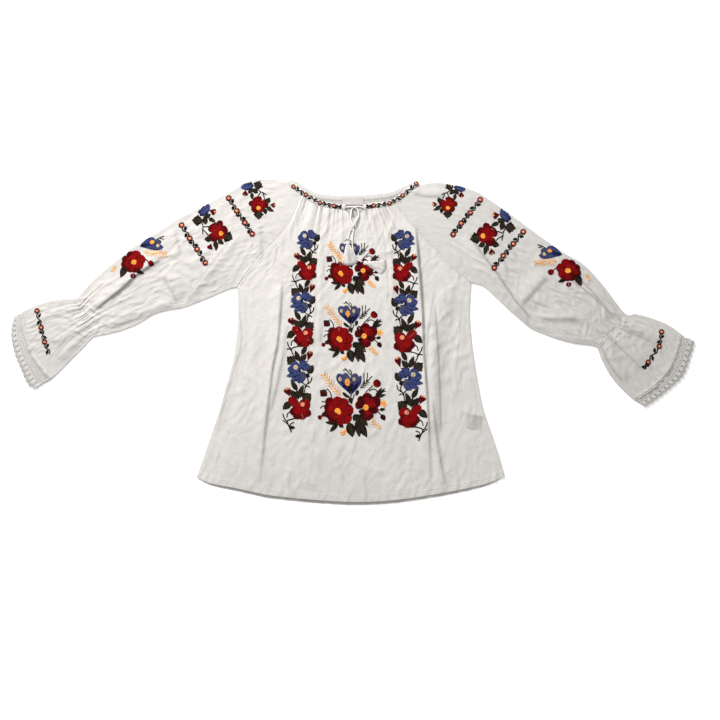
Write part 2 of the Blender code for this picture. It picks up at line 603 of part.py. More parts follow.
def lace(side, level, material, collection):
    """One layer of a cuff's lace: cells with a hole each, in two rows, the outer row scalloped."""
    seam = sleeve_sections(side, "front", np.linspace(0.01, 0.99, 60), [1.0])[0]
    out = 1 if side == "left" else -1
    seam = even_steps(offset(seam, out * 1.5 * SEAM_GAP), 200)
    tips = even_steps(catmull_rom(LACE_TIPS[side]), 200)
    floor = 0.0 if level == "lower" else LACE_TOP_FLOOR

    def place(share, reach):
        """A point at a share along the lace and a share of the way from its seam to its tips."""
        base, tip = by_share(seam, [share])[0], by_share(tips, [share])[0]
        return (*(base + reach * (tip - base)), floor + LACE_WALL)

    bm = bmesh.new()
    for row, (low, high) in enumerate(((0.0, LACE_SPLIT), (LACE_SPLIT, 1.0))):
        dip = high - row * LACE_SCALLOP_DIP
        for cell in range(LACE_SCALLOPS):
            left, centre, right = [(cell + part) / LACE_SCALLOPS for part in (0, 0.5, 1)]
            rim = [(left, low), (centre, low), (right, low), (right, dip), (centre, high), (left, dip)]
            middle = (low + high - row * 0.5 * LACE_SCALLOP_DIP) / 2
            along = LACE_HOLE["along"] / LACE_SCALLOPS
            hole = [
                (centre + along * math.cos(a), middle + LACE_HOLE["out"] * math.sin(a))
                for a in np.radians([210, 270, 330, 30, 90, 150])
            ]
            outer = [bm.verts.new(place(*point)) for point in rim]
            inner = [bm.verts.new(place(*point)) for point in hole]
            for i in range(6):
                j = (i + 1) % 6
                bm.faces.new((outer[i], outer[j], inner[j], inner[i]))
    bmesh.ops.remove_doubles(bm, verts=bm.verts, dist=0.00005)
    made = bmesh.ops.extrude_face_region(bm, geom=bm.faces[:], use_keep_orig=True)
    for vert in [item for item in made["geom"] if isinstance(item, bmesh.types.BMVert)]:
        vert.co.z = floor
    return add_object(f"lace_{side}_{level}", bm, material, collection)


def surface_reader(objects):
    """A function that gives the highest surface of these objects within a reach of a plan point."""
    bm = bmesh.new()
    for obj in objects:
        mesh = bpy.data.meshes.new_from_object(obj)
        bm.from_mesh(mesh)
        bpy.data.meshes.remove(mesh)
    tree = BVHTree.FromBMesh(bm)
    bm.free()
    ring = [(math.cos(a), math.sin(a)) for a in np.linspace(0, 2 * math.pi, 9)[:8]]

    def read(x, y, reach):
        """The highest of nine rays cast straight down."""
        origins = [Vector((x + reach * dx, y + reach * dy, 0.1)) for dx, dy in [(0, 0), *ring]]
        hits = [tree.ray_cast(origin, Vector((0, 0, -1)))[0] for origin in origins]
        return max((hit.z for hit in hits if hit), default=0.0)

    return read


def drawstring(name, plan, surface, material, collection):
    """A free end of the drawstring, a round cord that lies over whatever is below it."""
    dense = catmull_rom(plan)
    count = round(np.linalg.norm(np.diff(dense, axis=0), axis=1).sum() / CORD_STEP)
    path = even_steps(dense, count)
    below = np.array([surface(x, y, 1.2 * CORD_RADIUS) for x, y in path])
    padded = np.pad(below, 1, mode="edge")
    heights = np.max([padded[k : k + len(below)] for k in range(3)], axis=0)
    heights = np.convolve(np.pad(heights, 1, mode="edge"), [0.25, 0.5, 0.25], mode="valid")
    heights = np.maximum(heights, below) + CORD_RADIUS + GAP
    curve = bpy.data.curves.new(name, "CURVE")
    curve.dimensions = "3D"
    curve.bevel_depth = CORD_RADIUS
    curve.bevel_resolution = CORD_BEVEL
    curve.use_fill_caps = True
    spline = curve.splines.new("POLY")
    spline.points.add(len(path) - 1)
    for point, (x, y), z in zip(spline.points, path, heights):
        point.co = (x, y, z, 1)
    curve.materials.append(material)
    obj = bpy.data.objects.new(name, curve)
    collection.objects.link(obj)
    return obj


def tassel(name, x, y, heading, length, spread, surface, material, collection):
    """A tassel lying on the cloth: a wound head whose lower end grows into separate strands."""
    forward = np.array([math.cos(heading), math.sin(heading)])
    across = np.array([-forward[1], forward[0]])
    bm = bmesh.new()
    bmesh.ops.create_grid(bm, x_segments=STRANDS_ACROSS, y_segments=STRAND_LAYERS, size=0.5)
    for vert in bm.verts:
        vert.co = (vert.co.x * TASSEL_HEAD["wide"], TASSEL_HEAD["long"], vert.co.y * TASSEL_HEAD["high"])
    roots = bm.faces[:]
    made = bmesh.ops.extrude_face_region(bm, geom=roots, use_keep_orig=True)
    for vert in [item for item in made["geom"] if isinstance(item, bmesh.types.BMVert)]:
        vert.co = (vert.co.x * TASSEL_HEAD["end_wide"], 0, vert.co.z * TASSEL_HEAD["end_high"])
    for root in roots:
        bmesh.ops.inset_individual(bm, faces=[root], thickness=STRAND_ROOT_INSET)
        centre = root.calc_center_median()
        half = [abs(root.verts[0].co.x - centre.x), abs(root.verts[0].co.z - centre.z)]
        share = 2 * centre.x / TASSEL_HEAD["wide"]
        turn = spread * share
        reach = (length - TASSEL_HEAD["long"]) * (1 - 0.10 * share * share)
        tip = root
        for step in range(1, STRAND_STEPS + 1):
            old = tip.calc_center_median()
            tip = bmesh.ops.extrude_discrete_faces(bm, faces=[tip])["faces"][0]
            part = step / STRAND_STEPS
            wide = half[0] + part * (STRAND_TIP["half_wide"] - half[0])
            high = half[1] + part * (STRAND_TIP["half_high"] - half[1])
            goal = Vector((
                centre.x + math.sin(turn) * reach * part,
                centre.y + math.cos(turn) * reach * part,
                centre.z * (1 + part * (STRAND_TIP["level"] - 1)),
            ))
            for vert in tip.verts:
                right = math.copysign(wide, (vert.co - old) @ Vector((math.cos(turn), -math.sin(turn), 0)))
                rise = math.copysign(high, vert.co.z - old.z)
                vert.co = goal + Vector((right * math.cos(turn), -right * math.sin(turn), rise))
    for vert in bm.verts:
        plan = np.array([x, y]) + forward * vert.co.y + across * vert.co.x
        along = min(vert.co.y / length, 1)
        middle = (1 - along) * TASSEL_HEAD["high"] / 2 + along * 0.0013
        rest = surface(plan[0], plan[1], 0.005) + GAP + middle
        vert.co = (plan[0], plan[1], rest + vert.co.z)
    return add_object(name, bm, material, collection)


def label(name, sizes, floor, material, collection):
    """A small woven label, a thin plate."""
    bm = bmesh.new()
    bmesh.ops.create_cube(bm, size=2)
    for vert in bm.verts:
        vert.co = (
            sizes["x"] + vert.co.x * sizes["half_x"],
            sizes["y"] + vert.co.y * sizes["half_y"],
            floor + (vert.co.z + 1) / 2 * sizes["thick"],
        )
    return add_object(name, bm, material, collection)


def clear_scene():
    """Removes whatever the file opened with."""
    for obj in list(bpy.data.objects):
        bpy.data.objects.remove(obj)


def main():
    """Builds every piece of the blouse."""
    clear_scene()
    collection = bpy.data.collections.new("ie_blouse")
    bpy.context.scene.collection.children.link(collection)
    cotton = make_material("white_cotton", (0.86, 0.85, 0.82), 0.85)
    lace_cotton = make_material("lace_cotton", (0.88, 0.87, 0.84), 0.9)
    cord_cotton = make_material("cord_cotton", (0.90, 0.90, 0.88), 0.7)
    woven_label = make_material("woven_label", (0.84, 0.82, 0.80), 0.6)

    back = body_panel("back", cotton, collection)
    front = body_panel("front", cotton, collection)
    for side in ("left", "right"):
        sleeve(side, cotton, collection)
        for level in ("lower", "upper"):
            lace(side, level, lace_cotton, collection)
    for side, middle in (("left", FRONT_NECK_LEFT), ("right", FRONT_NECK_RIGHT)):
        casing(f"neck_casing_{side}", middle, front_casing_floor, CASING_HEIGHT, 16, cotton, collection)
    casing("neck_casing_back", BACK_NECK, np.zeros_like, BACK_CASING_HEIGHT, 24, cotton, collection)
    badge = label("neck_label", NECK_LABEL, BACK_WALL + BACK_GATHER_HEIGHT + GAP, woven_label, collection)
    label("side_label", SIDE_LABEL, BACK_WALL + SEAM_GAP, woven_label, collection)

    below = [back, front, badge]
    for side, plan in (("right", RIGHT_CORD), ("left", LEFT_CORD)):
        below.append(drawstring(f"drawstring_{side}", plan, surface_reader(below), cord_cotton, collection))
    for row in named(TASSELS, TASSEL_COLUMNS):
        name, *shape = row.values()
        below.append(tassel(name, *shape, surface_reader(below), cord_cotton, collection))


main()
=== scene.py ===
"""A Romanian ie blouse, laid flat and face up, dressed for its photograph.

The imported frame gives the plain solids. This script puts the real cloth in their place: gathered cotton, its
seams and stitches, crocheted lace at the cuffs, the twisted drawstring with its tassels, and the embroidery.

X runs across the blouse, Y from the hem to the neck, and Z up from the surface that it lies on. Left and
right are as seen from above with the neck away from the viewer. Everything is in metres.
"""

from __future__ import annotations

import json
import logging
import math
from collections.abc import Sequence
from dataclasses import dataclass, field
from enum import Enum

import bpy
import numpy as np
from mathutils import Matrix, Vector
from mathutils.bvhtree import BVHTree

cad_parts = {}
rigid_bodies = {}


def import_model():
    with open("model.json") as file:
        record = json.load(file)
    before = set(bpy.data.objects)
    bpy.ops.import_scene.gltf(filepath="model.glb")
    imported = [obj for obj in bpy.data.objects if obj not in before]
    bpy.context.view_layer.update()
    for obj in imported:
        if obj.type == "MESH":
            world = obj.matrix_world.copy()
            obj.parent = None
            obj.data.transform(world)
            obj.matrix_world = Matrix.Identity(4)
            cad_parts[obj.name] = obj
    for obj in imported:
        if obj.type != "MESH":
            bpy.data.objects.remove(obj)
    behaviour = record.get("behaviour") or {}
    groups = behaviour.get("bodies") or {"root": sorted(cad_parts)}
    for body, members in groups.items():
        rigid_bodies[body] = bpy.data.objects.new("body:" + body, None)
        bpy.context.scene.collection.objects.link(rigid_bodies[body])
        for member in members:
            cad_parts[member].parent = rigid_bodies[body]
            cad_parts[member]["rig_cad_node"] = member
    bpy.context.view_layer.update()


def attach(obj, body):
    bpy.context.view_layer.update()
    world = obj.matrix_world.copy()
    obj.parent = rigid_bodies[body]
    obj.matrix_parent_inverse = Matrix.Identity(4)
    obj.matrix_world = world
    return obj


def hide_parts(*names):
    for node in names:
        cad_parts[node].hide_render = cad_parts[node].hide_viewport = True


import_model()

LOG = logging.getLogger("ie_blouse")
Point = tuple[float, float]


class Side(Enum):
    """A side of the blouse as seen from above, and which way along X it points."""

    LEFT = ("left", -1)
    RIGHT = ("right", 1)

    @property
    def word(self) -> str:
        """The side as it stands in the names of nodes."""
        return self.value[0]

    @property
    def way(self) -> int:
        """-1 for the left and 1 for the right."""
        return self.value[1]


class Layer(Enum):
    """The upper cloth, which faces the viewer, or the lower one, which lies on the surface."""

    UPPER = "front"
    LOWER = "back"


# The blouse's own measures, the same as in the part's source

BACK_TOP = 0.0012
GAP = 0.0004
SEAM_GAP = 0.0003
EDGE_TOP = 0.0032
LOFT, LOFT_REACH = 0.0036, 0.040
MOUTH_REACH, MOUTH_SHARE = 0.030, 0.25
NECK_LIFT, NECK_LIFT_REACH = 0.0013, 0.026
CASING_WIDTH = 0.011
SLIT_TIP = (0.003, 0.246)
CARE_LABEL = (0.244, -0.162)  # where the label inside shows through
FRONT_HEM_RISE = 0.006
CORNER_SHARE = 0.80
UNDERARM_SHARE = 0.60
FOLD_EDGE_REACH = 0.010
FOLD_END_SHARE = 0.18
SHADOW_WIDTH = 0.0022
DEEP_FOLD = 0.0050  # a fold this high has the darkest foot
FOLD_REACH = 3.2  # a fold is flat beyond this many of its spreads
CREASE_SEED = 29  # start of the random numbers of the fine folds
NEEDLE_SEED = 40  # the same for the first piece of embroidery

SIDE_SEAM: dict[Side, list[Point]] = {
    Side.LEFT: [
        (-0.312, -0.271), (-0.297, -0.229), (-0.281, -0.181), (-0.265, -0.133), (-0.252, -0.085),
        (-0.239, -0.037), (-0.232, 0.011), (-0.229, 0.059), (-0.231, 0.108),
    ],
    Side.RIGHT: [
        (0.304, -0.269), (0.293, -0.229), (0.277, -0.181), (0.261, -0.133), (0.251, -0.085),
        (0.243, -0.037), (0.237, 0.011), (0.234, 0.059), (0.237, 0.117),
    ],
}
RAGLAN: dict[tuple[Side, Layer], list[Point]] = {
    (Side.LEFT, Layer.UPPER): [
        (-0.231, 0.108), (-0.190, 0.166), (-0.155, 0.202), (-0.126, 0.239), (-0.103, 0.285),
    ],
    (Side.RIGHT, Layer.UPPER): [
        (0.237, 0.117), (0.205, 0.143), (0.163, 0.187), (0.125, 0.227), (0.086, 0.275),
    ],
    (Side.LEFT, Layer.LOWER): [
        (-0.231, 0.108), (-0.190, 0.166), (-0.155, 0.202), (-0.126, 0.239), (-0.101, 0.298),
    ],
    (Side.RIGHT, Layer.LOWER): [
        (0.237, 0.117), (0.205, 0.143), (0.163, 0.187), (0.125, 0.227), (0.092, 0.290),
    ],
}
HEM: list[Point] = [
    (-0.312, -0.271), (-0.292, -0.283), (-0.273, -0.290), (-0.225, -0.300), (-0.177, -0.311),
    (-0.129, -0.3175), (-0.065, -0.3232), (-0.001, -0.3267), (0.055, -0.3252), (0.095, -0.3215),
    (0.135, -0.316), (0.183, -0.308), (0.231, -0.298), (0.262, -0.290), (0.284, -0.281), (0.304, -0.269),
]
FRONT_NECK: dict[Side, list[Point]] = {
    Side.LEFT: [
        (-0.126, 0.3228), (-0.113, 0.308), (-0.097, 0.295), (-0.069, 0.278), (-0.037, 0.271), (-0.014, 0.268),
    ],
    Side.RIGHT: [
        (0.022, 0.268), (0.041, 0.272), (0.073, 0.276), (0.099, 0.291), (0.115, 0.305), (0.1325, 0.3175),
    ],
}
BACK_NECK: list[Point] = [
    (-0.1225, 0.3185), (-0.105, 0.309), (-0.085, 0.297), (-0.063, 0.290), (-0.025, 0.287), (0.010, 0.287),
    (0.045, 0.289), (0.078, 0.294), (0.098, 0.3015), (0.115, 0.3095), (0.1295, 0.3165),
]
# A sleeve's sections from the armhole to the lace: the underarm edge, then the shoulder edge
SLEEVE: dict[Side, list[tuple[float, float, float, float]]] = {
    Side.LEFT: [
        (-0.231, 0.108, -0.1322, 0.3208), (-0.251, 0.103, -0.165, 0.325), (-0.281, 0.090, -0.206, 0.322),
        (-0.313, 0.077, -0.249, 0.297), (-0.341, 0.067, -0.299, 0.271), (-0.369, 0.062, -0.345, 0.248),
        (-0.397, 0.054, -0.386, 0.221), (-0.429, 0.035, -0.430, 0.194), (-0.461, 0.022, -0.468, 0.165),
        (-0.493, 0.014, -0.510, 0.131), (-0.509, 0.011, -0.536, 0.105), (-0.520, 0.007, -0.551, 0.088),
        (-0.537, -0.011, -0.573, 0.087), (-0.561, -0.035, -0.605, 0.081), (-0.585, -0.060, -0.638, 0.070),
        (-0.6045, -0.0775, -0.6666, 0.0565),
    ],
    Side.RIGHT: [
        (0.237, 0.117, 0.1382, 0.3140), (0.261, 0.110, 0.167, 0.318), (0.287, 0.087, 0.207, 0.312),
        (0.310, 0.065, 0.247, 0.300), (0.334, 0.044, 0.285, 0.276), (0.358, 0.025, 0.319, 0.252),
        (0.387, 0.013, 0.351, 0.228), (0.415, 0.003, 0.387, 0.202), (0.443, -0.004, 0.425, 0.176),
        (0.467, -0.007, 0.463, 0.153), (0.479, -0.009, 0.503, 0.110), (0.489, -0.014, 0.543, 0.058),
        (0.499, -0.039, 0.567, 0.055), (0.517, -0.071, 0.597, 0.047), (0.541, -0.098, 0.631, 0.033),
        (0.564, -0.1185, 0.6606, 0.0125),
    ],
}
CINCH_ROW = 11
CUFF_BULGE = {Side.LEFT: 0.015, Side.RIGHT: 0.021}
LACE_TIPS: dict[Side, list[Point]] = {
    Side.LEFT: [
        (-0.634, -0.0955), (-0.6500, -0.0870), (-0.664, -0.0564), (-0.673, -0.0348), (-0.6790, -0.0160),
        (-0.6832, 0.0084), (-0.6822, 0.0300), (-0.6760, 0.0500),
    ],
    Side.RIGHT: [
        (0.5850, -0.1318), (0.5990, -0.1235), (0.6140, -0.1125), (0.6290, -0.1005), (0.6450, -0.0870),
        (0.6610, -0.0710), (0.6710, -0.0510), (0.6770, -0.0310), (0.6826, -0.0130), (0.6848, 0.0000),
    ],
}
CORD: dict[Side, list[Point]] = {
    Side.LEFT: [
        (-0.0134, 0.2680), (-0.0060, 0.2690), (0.0030, 0.2684), (0.0096, 0.2640), (0.0124, 0.2560),
        (0.0116, 0.2480), (0.0078, 0.2412), (0.0028, 0.2326), (-0.0032, 0.2242), (-0.0068, 0.2134),
        (-0.0094, 0.2040),
    ],
    Side.RIGHT: [
        (0.0214, 0.2680), (0.0130, 0.2698), (0.0052, 0.2692), (-0.0012, 0.2640), (-0.0030, 0.2546),
        (-0.0034, 0.2448), (-0.0008, 0.2364), (0.0022, 0.2314), (0.0024, 0.2230), (0.0004, 0.2110),
        (-0.0004, 0.1980), (0.0020, 0.1790), (0.0100, 0.1640), (0.0192, 0.1590),
    ],
}


@dataclass(frozen=True)
class Fold:
    """A fold of the upper cloth, or a trough where its height is negative.

    Attributes:
        path: Plan points of the ridge.
        height: How far it stands up.
        left: Its spread to the left hand of someone walking along the path.
        right: Its spread to the right hand.
    """

    path: Sequence[Point]
    height: float
    left: float
    right: float


FOLDS = [
    # Body
    Fold([(-0.141, 0.141), (-0.150, 0.010), (-0.164, -0.073), (-0.191, -0.310)], 0.0046, 0.003, 0.014),
    Fold([(-0.132, 0.040), (-0.148, -0.060), (-0.172, -0.160)], 0.0026, 0.004, 0.010),
    Fold([(-0.222, 0.090), (-0.214, 0.000), (-0.236, -0.080), (-0.272, -0.215)], -0.0022, 0.012, 0.008),
    Fold([(0.121, 0.262), (0.130, 0.159), (0.137, 0.067), (0.140, -0.025), (0.147, -0.117), (0.156, -0.312)],
         0.0078, 0.0035, 0.020),
    Fold([(0.150, 0.090), (0.158, -0.020), (0.162, -0.120), (0.164, -0.190)], 0.0062, 0.013, 0.016),
    Fold([(0.152, -0.100), (0.166, -0.209), (0.183, -0.300)], 0.0038, 0.006, 0.009),
    Fold([(0.186, 0.110), (0.171, 0.020), (0.166, -0.110)], 0.0034, 0.020, 0.020),
    Fold([(0.206, 0.090), (0.199, 0.000), (0.190, -0.080)], -0.0020, 0.014, 0.016),
    Fold([(-0.064, 0.205), (-0.066, 0.080), (-0.070, -0.020)], 0.0026, 0.008, 0.008),
    Fold([(0.067, 0.235), (0.077, 0.143), (0.079, 0.060)], 0.0026, 0.008, 0.008),
    Fold([(-0.067, -0.209), (-0.081, -0.300)], 0.0018, 0.010, 0.010),
    # Left sleeve
    Fold([(-0.222, 0.222), (-0.280, 0.148), (-0.336, 0.076)], 0.0036, 0.012, 0.005),
    Fold([(-0.379, 0.140), (-0.344, 0.080)], 0.0030, 0.012, 0.005),
    Fold([(-0.366, 0.176), (-0.405, 0.154), (-0.439, 0.130), (-0.462, 0.108), (-0.492, 0.084),
          (-0.530, 0.054)], 0.0058, 0.004, 0.018),
    Fold([(-0.345, 0.083), (-0.422, 0.056), (-0.505, 0.028)], 0.0028, 0.008, 0.010),
    Fold([(-0.191, 0.240), (-0.187, 0.160)], 0.0024, 0.008, 0.012),
    Fold([(-0.364, 0.226), (-0.356, 0.193), (-0.350, 0.165)], 0.0030, 0.008, 0.014),
    # Right sleeve
    Fold([(0.221, 0.222), (0.248, 0.180), (0.281, 0.137), (0.308, 0.097), (0.330, 0.066), (0.368, 0.028)],
         0.0046, 0.006, 0.018),
    Fold([(0.390, 0.138), (0.328, 0.068)], 0.0038, 0.006, 0.018),
    Fold([(0.365, 0.050), (0.455, 0.048)], 0.0022, 0.010, 0.008),
    Fold([(0.430, 0.160), (0.488, 0.104), (0.535, 0.046)], 0.0040, 0.010, 0.010),
    Fold([(0.420, 0.120), (0.470, 0.085), (0.520, 0.036)], 0.0040, 0.010, 0.012),
    Fold([(0.401, 0.014), (0.450, 0.005), (0.494, 0.006)], 0.0024, 0.006, 0.008),
    Fold([(0.116, 0.303), (0.150, 0.295), (0.192, 0.294)], 0.0030, 0.010, 0.006),
    # Ruffles below the cinch
    Fold([(-0.530, 0.040), (-0.562, 0.020), (-0.600, -0.006)], 0.0034, 0.009, 0.009),
    Fold([(-0.526, 0.022), (-0.560, -0.006), (-0.592, -0.040)], 0.0034, 0.009, 0.009),
    Fold([(-0.542, 0.070), (-0.590, 0.060), (-0.640, 0.042)], 0.0030, 0.010, 0.010),
    Fold([(0.503, 0.002), (0.522, -0.040), (0.552, -0.080)], 0.0036, 0.010, 0.010),
    Fold([(0.515, 0.018), (0.548, -0.012), (0.590, -0.052)], 0.0030, 0.010, 0.010),
    Fold([(0.532, 0.040), (0.580, 0.020), (0.630, -0.004)], 0.0030, 0.012, 0.012),
]


def chance_folds() -> list[Fold]:
    """Fine sharp creases: down the body, and along each sleeve."""
    chance = np.random.default_rng(CREASE_SEED)
    made = []
    for middle, spread, heading, count in (
        ((0.0, -0.05), (0.24, 0.25), -1.57, 64),
        ((-0.40, 0.10), (0.14, 0.10), -2.50, 36),
        ((0.40, 0.10), (0.14, 0.10), -0.65, 36),
    ):
        for _ in range(count):
            start = np.array(middle) + np.array(spread) * chance.uniform(-1, 1, 2)
            turn, bend = heading + chance.normal(0, 0.45), chance.normal(0, 0.35)
            length = chance.uniform(0.012, 0.045)
            bow = start + length * np.array([math.cos(turn), math.sin(turn)])
            end = bow + length * np.array([math.cos(turn + bend), math.sin(turn + bend)])
            steep, gentle = chance.permutation([0.003, 0.008])
            path = [tuple(start), tuple(bow), tuple(end)]
            made.append(Fold(path, chance.uniform(0.0005, 0.0015), steep, gentle))
    return made


FOLDS += chance_folds()


# Lines in the plan


def catmull_rom(points: Sequence[Point] | np.ndarray, per_span: int = 12) -> np.ndarray:
    """Draws a smooth line through points.

    Args:
        points: The points, in order.
        per_span: Steps between one point and the next.

    Returns:
        Dense points on the line.
    """
    p = np.asarray(points, float)
    if len(p) < 3:
        return np.linspace(p[0], p[-1], per_span + 1)
    p = np.vstack([2 * p[0] - p[1], p, 2 * p[-1] - p[-2]])
    t = np.linspace(0, 1, per_span, endpoint=False)[:, None]
    spans = [
        b + 0.5 * t * (c - a + t * (2 * a - 5 * b + 4 * c - d + t * (3 * (b - c) + d - a)))
        for a, b, c, d in zip(p, p[1:], p[2:], p[3:])
    ]
    return np.vstack([*spans, p[-2:-1]])


def lengths_along(points: np.ndarray) -> np.ndarray:
    """The distance along a line from its first point to each of its points."""
    return np.concatenate([[0], np.cumsum(np.linalg.norm(np.diff(points, axis=0), axis=1))])


def even_steps(points: np.ndarray, count: int) -> np.ndarray:
    """Divides a line into equal steps.

    Args:
        points: The line, in the plan or in space.
        count: The number of steps.

    Returns:
        count + 1 points.
    """
    p = np.asarray(points, float)
    along = lengths_along(p)
    want = np.linspace(0, along[-1], count + 1)
    return np.stack([np.interp(want, along, p[:, axis]) for axis in range(p.shape[1])], axis=1)


def by_share(points: np.ndarray, shares: Sequence[float] | np.ndarray) -> np.ndarray:
    """A line's points at shares of its list, 0 for the first point and 1 for the last."""
    want = np.asarray(shares, float) * (len(points) - 1)
    return np.stack([np.interp(want, np.arange(len(points)), points[:, axis]) for axis in range(2)], axis=1)


def offset(points: np.ndarray, distance: float) -> np.ndarray:
    """Moves a plan line sideways, to the left hand of someone walking along it."""
    p = np.asarray(points, float)
    way = np.gradient(p, axis=0)
    way /= np.linalg.norm(way, axis=1)[:, None]
    return p + distance * np.stack([-way[:, 1], way[:, 0]], axis=1)


def hem_line(layer: Layer) -> np.ndarray:
    """The hem from left to right. The front one sits a little higher in the middle."""
    line = catmull_rom(HEM, 4)
    if layer is Layer.UPPER:
        share = np.linspace(-1, 1, len(line))
        line[:, 1] += FRONT_HEM_RISE * (1 - share**4)
    return line


def sleeve_edge(side: Side, over: bool) -> np.ndarray:
    """The underarm or the shoulder edge of a sleeve, at the sections of its table."""
    rows = np.array(SLEEVE[side])
    return rows[:, 2:4] if over else rows[:, 0:2]


def nearest(p: np.ndarray, line: np.ndarray) -> tuple[np.ndarray, np.ndarray, np.ndarray]:
    """Finds where points lie beside a line.

    Args:
        p: Plan points.
        line: Plan points of the line, joined by straight steps.

    Returns:
        Each point's distance from the line, its share along the line, and 1 or -1 for the left or
        right of it.
    """
    starts, ends = line[:-1], line[1:]
    way = ends - starts
    rel = p[:, None, :] - starts[None]
    share = np.clip((rel * way).sum(2) / (way * way).sum(1), 0, 1)
    away = np.linalg.norm(rel - share[..., None] * way, axis=2)
    pick = away.argmin(1)
    row = np.arange(len(p))
    cross = way[pick, 0] * rel[row, pick, 1] - way[pick, 1] * rel[row, pick, 0]
    return away[row, pick], (pick + share[row, pick]) / len(starts), np.sign(cross)


def distance_to(p: np.ndarray, lines: Sequence[np.ndarray]) -> np.ndarray:
    """The distance from each point to the nearest of several lines."""
    return np.min([nearest(p, np.asarray(line, float))[0] for line in lines], axis=0)


def settle(distance: np.ndarray, reach: float) -> np.ndarray:
    """0 at an edge, rising to 1 away from it."""
    return 1 - np.exp(-distance / reach)


def smoothstep(x: np.ndarray) -> np.ndarray:
    """0 to 1 with a soft start and end."""
    x = np.clip(x, 0, 1)
    return x * x * (3 - 2 * x)


NECK_LINES = {side: catmull_rom(points, 6) for side, points in FRONT_NECK.items()}
SHUT_LINES = [
    *[catmull_rom(points, 3) for points in SIDE_SEAM.values()],
    *[catmull_rom(sleeve_edge(side, over), 4) for side in Side for over in (False, True)],
]
CUFF_LINES = [np.array([SLEEVE[side][-1][0:2], SLEEVE[side][-1][2:4]]) for side in Side]


# Relief of the upper cloth


def beside(fold: Fold, p: np.ndarray) -> tuple[np.ndarray, np.ndarray, np.ndarray]:
    """Finds the points that a fold can reach.

    Args:
        fold: The fold.
        p: Plan points.

    Returns:
        Their numbers, how far each is to the left of the ridge, and how strong the fold is there.
    """
    line = catmull_rom(fold.path, 6)
    reach = FOLD_REACH * max(fold.left, fold.right)
    close = np.flatnonzero(((p > line.min(0) - reach) & (p < line.max(0) + reach)).all(1))
    away, along, side = nearest(p[close], line)
    return close, away * side, smoothstep(np.minimum(along, 1 - along) / FOLD_END_SHARE)


def fold_relief(p: np.ndarray) -> np.ndarray:
    """Height added by the folds in the table."""
    total = np.zeros(len(p))
    for fold in FOLDS:
        close, away, strength = beside(fold, p)
        spread = np.where(away > 0, fold.left, fold.right)
        total[close] += fold.height * np.exp(-((away / spread) ** 2)) * strength
    return total


def crease_shadow(p: np.ndarray) -> np.ndarray:
    """How dark each point is at the foot of a fold's steep side, from 0 to 1."""
    dark = np.zeros(len(p))
    for fold in FOLDS:
        close, away, strength = beside(fold, p)
        foot = fold.left if fold.left < fold.right else -fold.right
        line = np.exp(-(((away - foot) / SHADOW_WIDTH) ** 2)) * strength
        dark[close] = np.maximum(dark[close], line * min(1.0, abs(fold.height) / DEEP_FOLD))
    return dark


def mark_creases(cloth: bpy.types.Object) -> bpy.types.Object:
    """Stores the creases' shadow in the cloth, for its finish."""
    plan = np.array([v.co[:2] for v in cloth.data.vertices])
    # Painted shade: the creases' shadow is stored as a point attribute, and the cotton finish darkens its
    # colour by it.
    cloth.data.attributes.new("crease", "FLOAT", "POINT").data.foreach_set("value", crease_shadow(plan))
    return cloth


@dataclass(frozen=True)
class Creases:
    """Fine creases of pressed and handled cotton: seeded waves with sharpened crests.

    Attributes:
        seed: Start of the random numbers.
        count: How many waves are added up.
        shortest: The shortest wavelength.
        longest: The longest.
        steepness: Height of a wave as a share of its length.
        bearing: The direction, in radians from X, that most crests run across.
        scatter: How far from it they turn.
    """

    seed: int
    count: int
    shortest: float
    longest: float
    steepness: float
    bearing: float
    scatter: float

    def height(self, p: np.ndarray) -> np.ndarray:
        """The creases' height at plan points, above and below zero."""
        rng = np.random.default_rng(self.seed)
        bend = 0.010 * np.stack([
            np.sin(41 * p[:, 1] + 17 * p[:, 0] + 0.7) + 0.5 * np.sin(97 * p[:, 0] - 60 * p[:, 1]),
            np.sin(37 * p[:, 0] - 22 * p[:, 1] + 2.1) + 0.5 * np.sin(83 * p[:, 1] + 71 * p[:, 0]),
        ], axis=1)
        q = p + bend
        total = np.zeros(len(p))
        for _ in range(self.count):
            wavelength = math.exp(rng.uniform(math.log(self.shortest), math.log(self.longest)))
            turn = self.bearing + rng.normal(0, self.scatter)
            phase, drift = rng.uniform(0, 2 * math.pi, 2)
            across = q @ np.array([math.cos(turn), math.sin(turn)])
            along = q @ np.array([-math.sin(turn), math.cos(turn)])
            wave = np.sin(2 * math.pi * across / wavelength + phase)
            patch = smoothstep(0.5 + 0.8 * np.sin(2 * math.pi * along / (3.7 * wavelength) + drift))
            total += self.steepness * wavelength * patch * ((1 - np.abs(wave)) ** 1.6 - 0.38)
        return total


BODY_CREASES = Creases(seed=11, count=30, shortest=0.009, longest=0.060, steepness=0.0125,
                       bearing=0.0, scatter=0.55)
SLEEVE_CREASES = {
    Side.LEFT: Creases(seed=23, count=30, shortest=0.011, longest=0.055, steepness=0.0165,
                       bearing=math.radians(-52), scatter=0.75),
    Side.RIGHT: Creases(seed=37, count=30, shortest=0.011, longest=0.055, steepness=0.0175,
                        bearing=math.radians(52), scatter=0.75),
}


def cloth_top(p: np.ndarray) -> np.ndarray:
    """Height of the top of the upper cloth at plan points, without gathers and fine creases."""
    shut = distance_to(p, SHUT_LINES)
    mouth = distance_to(p, [hem_line(Layer.UPPER), *NECK_LINES.values(), *CUFF_LINES])
    rise = LOFT * settle(shut, LOFT_REACH) * (MOUTH_SHARE + (1 - MOUTH_SHARE) * settle(mouth, MOUTH_REACH))
    neck = NECK_LIFT * np.exp(-distance_to(p, list(NECK_LINES.values())) / NECK_LIFT_REACH)
    neck *= settle(shut, FOLD_EDGE_REACH)
    folds = fold_relief(p) * settle(shut, FOLD_EDGE_REACH)
    return EDGE_TOP + neck + np.maximum(rise + folds, 0)


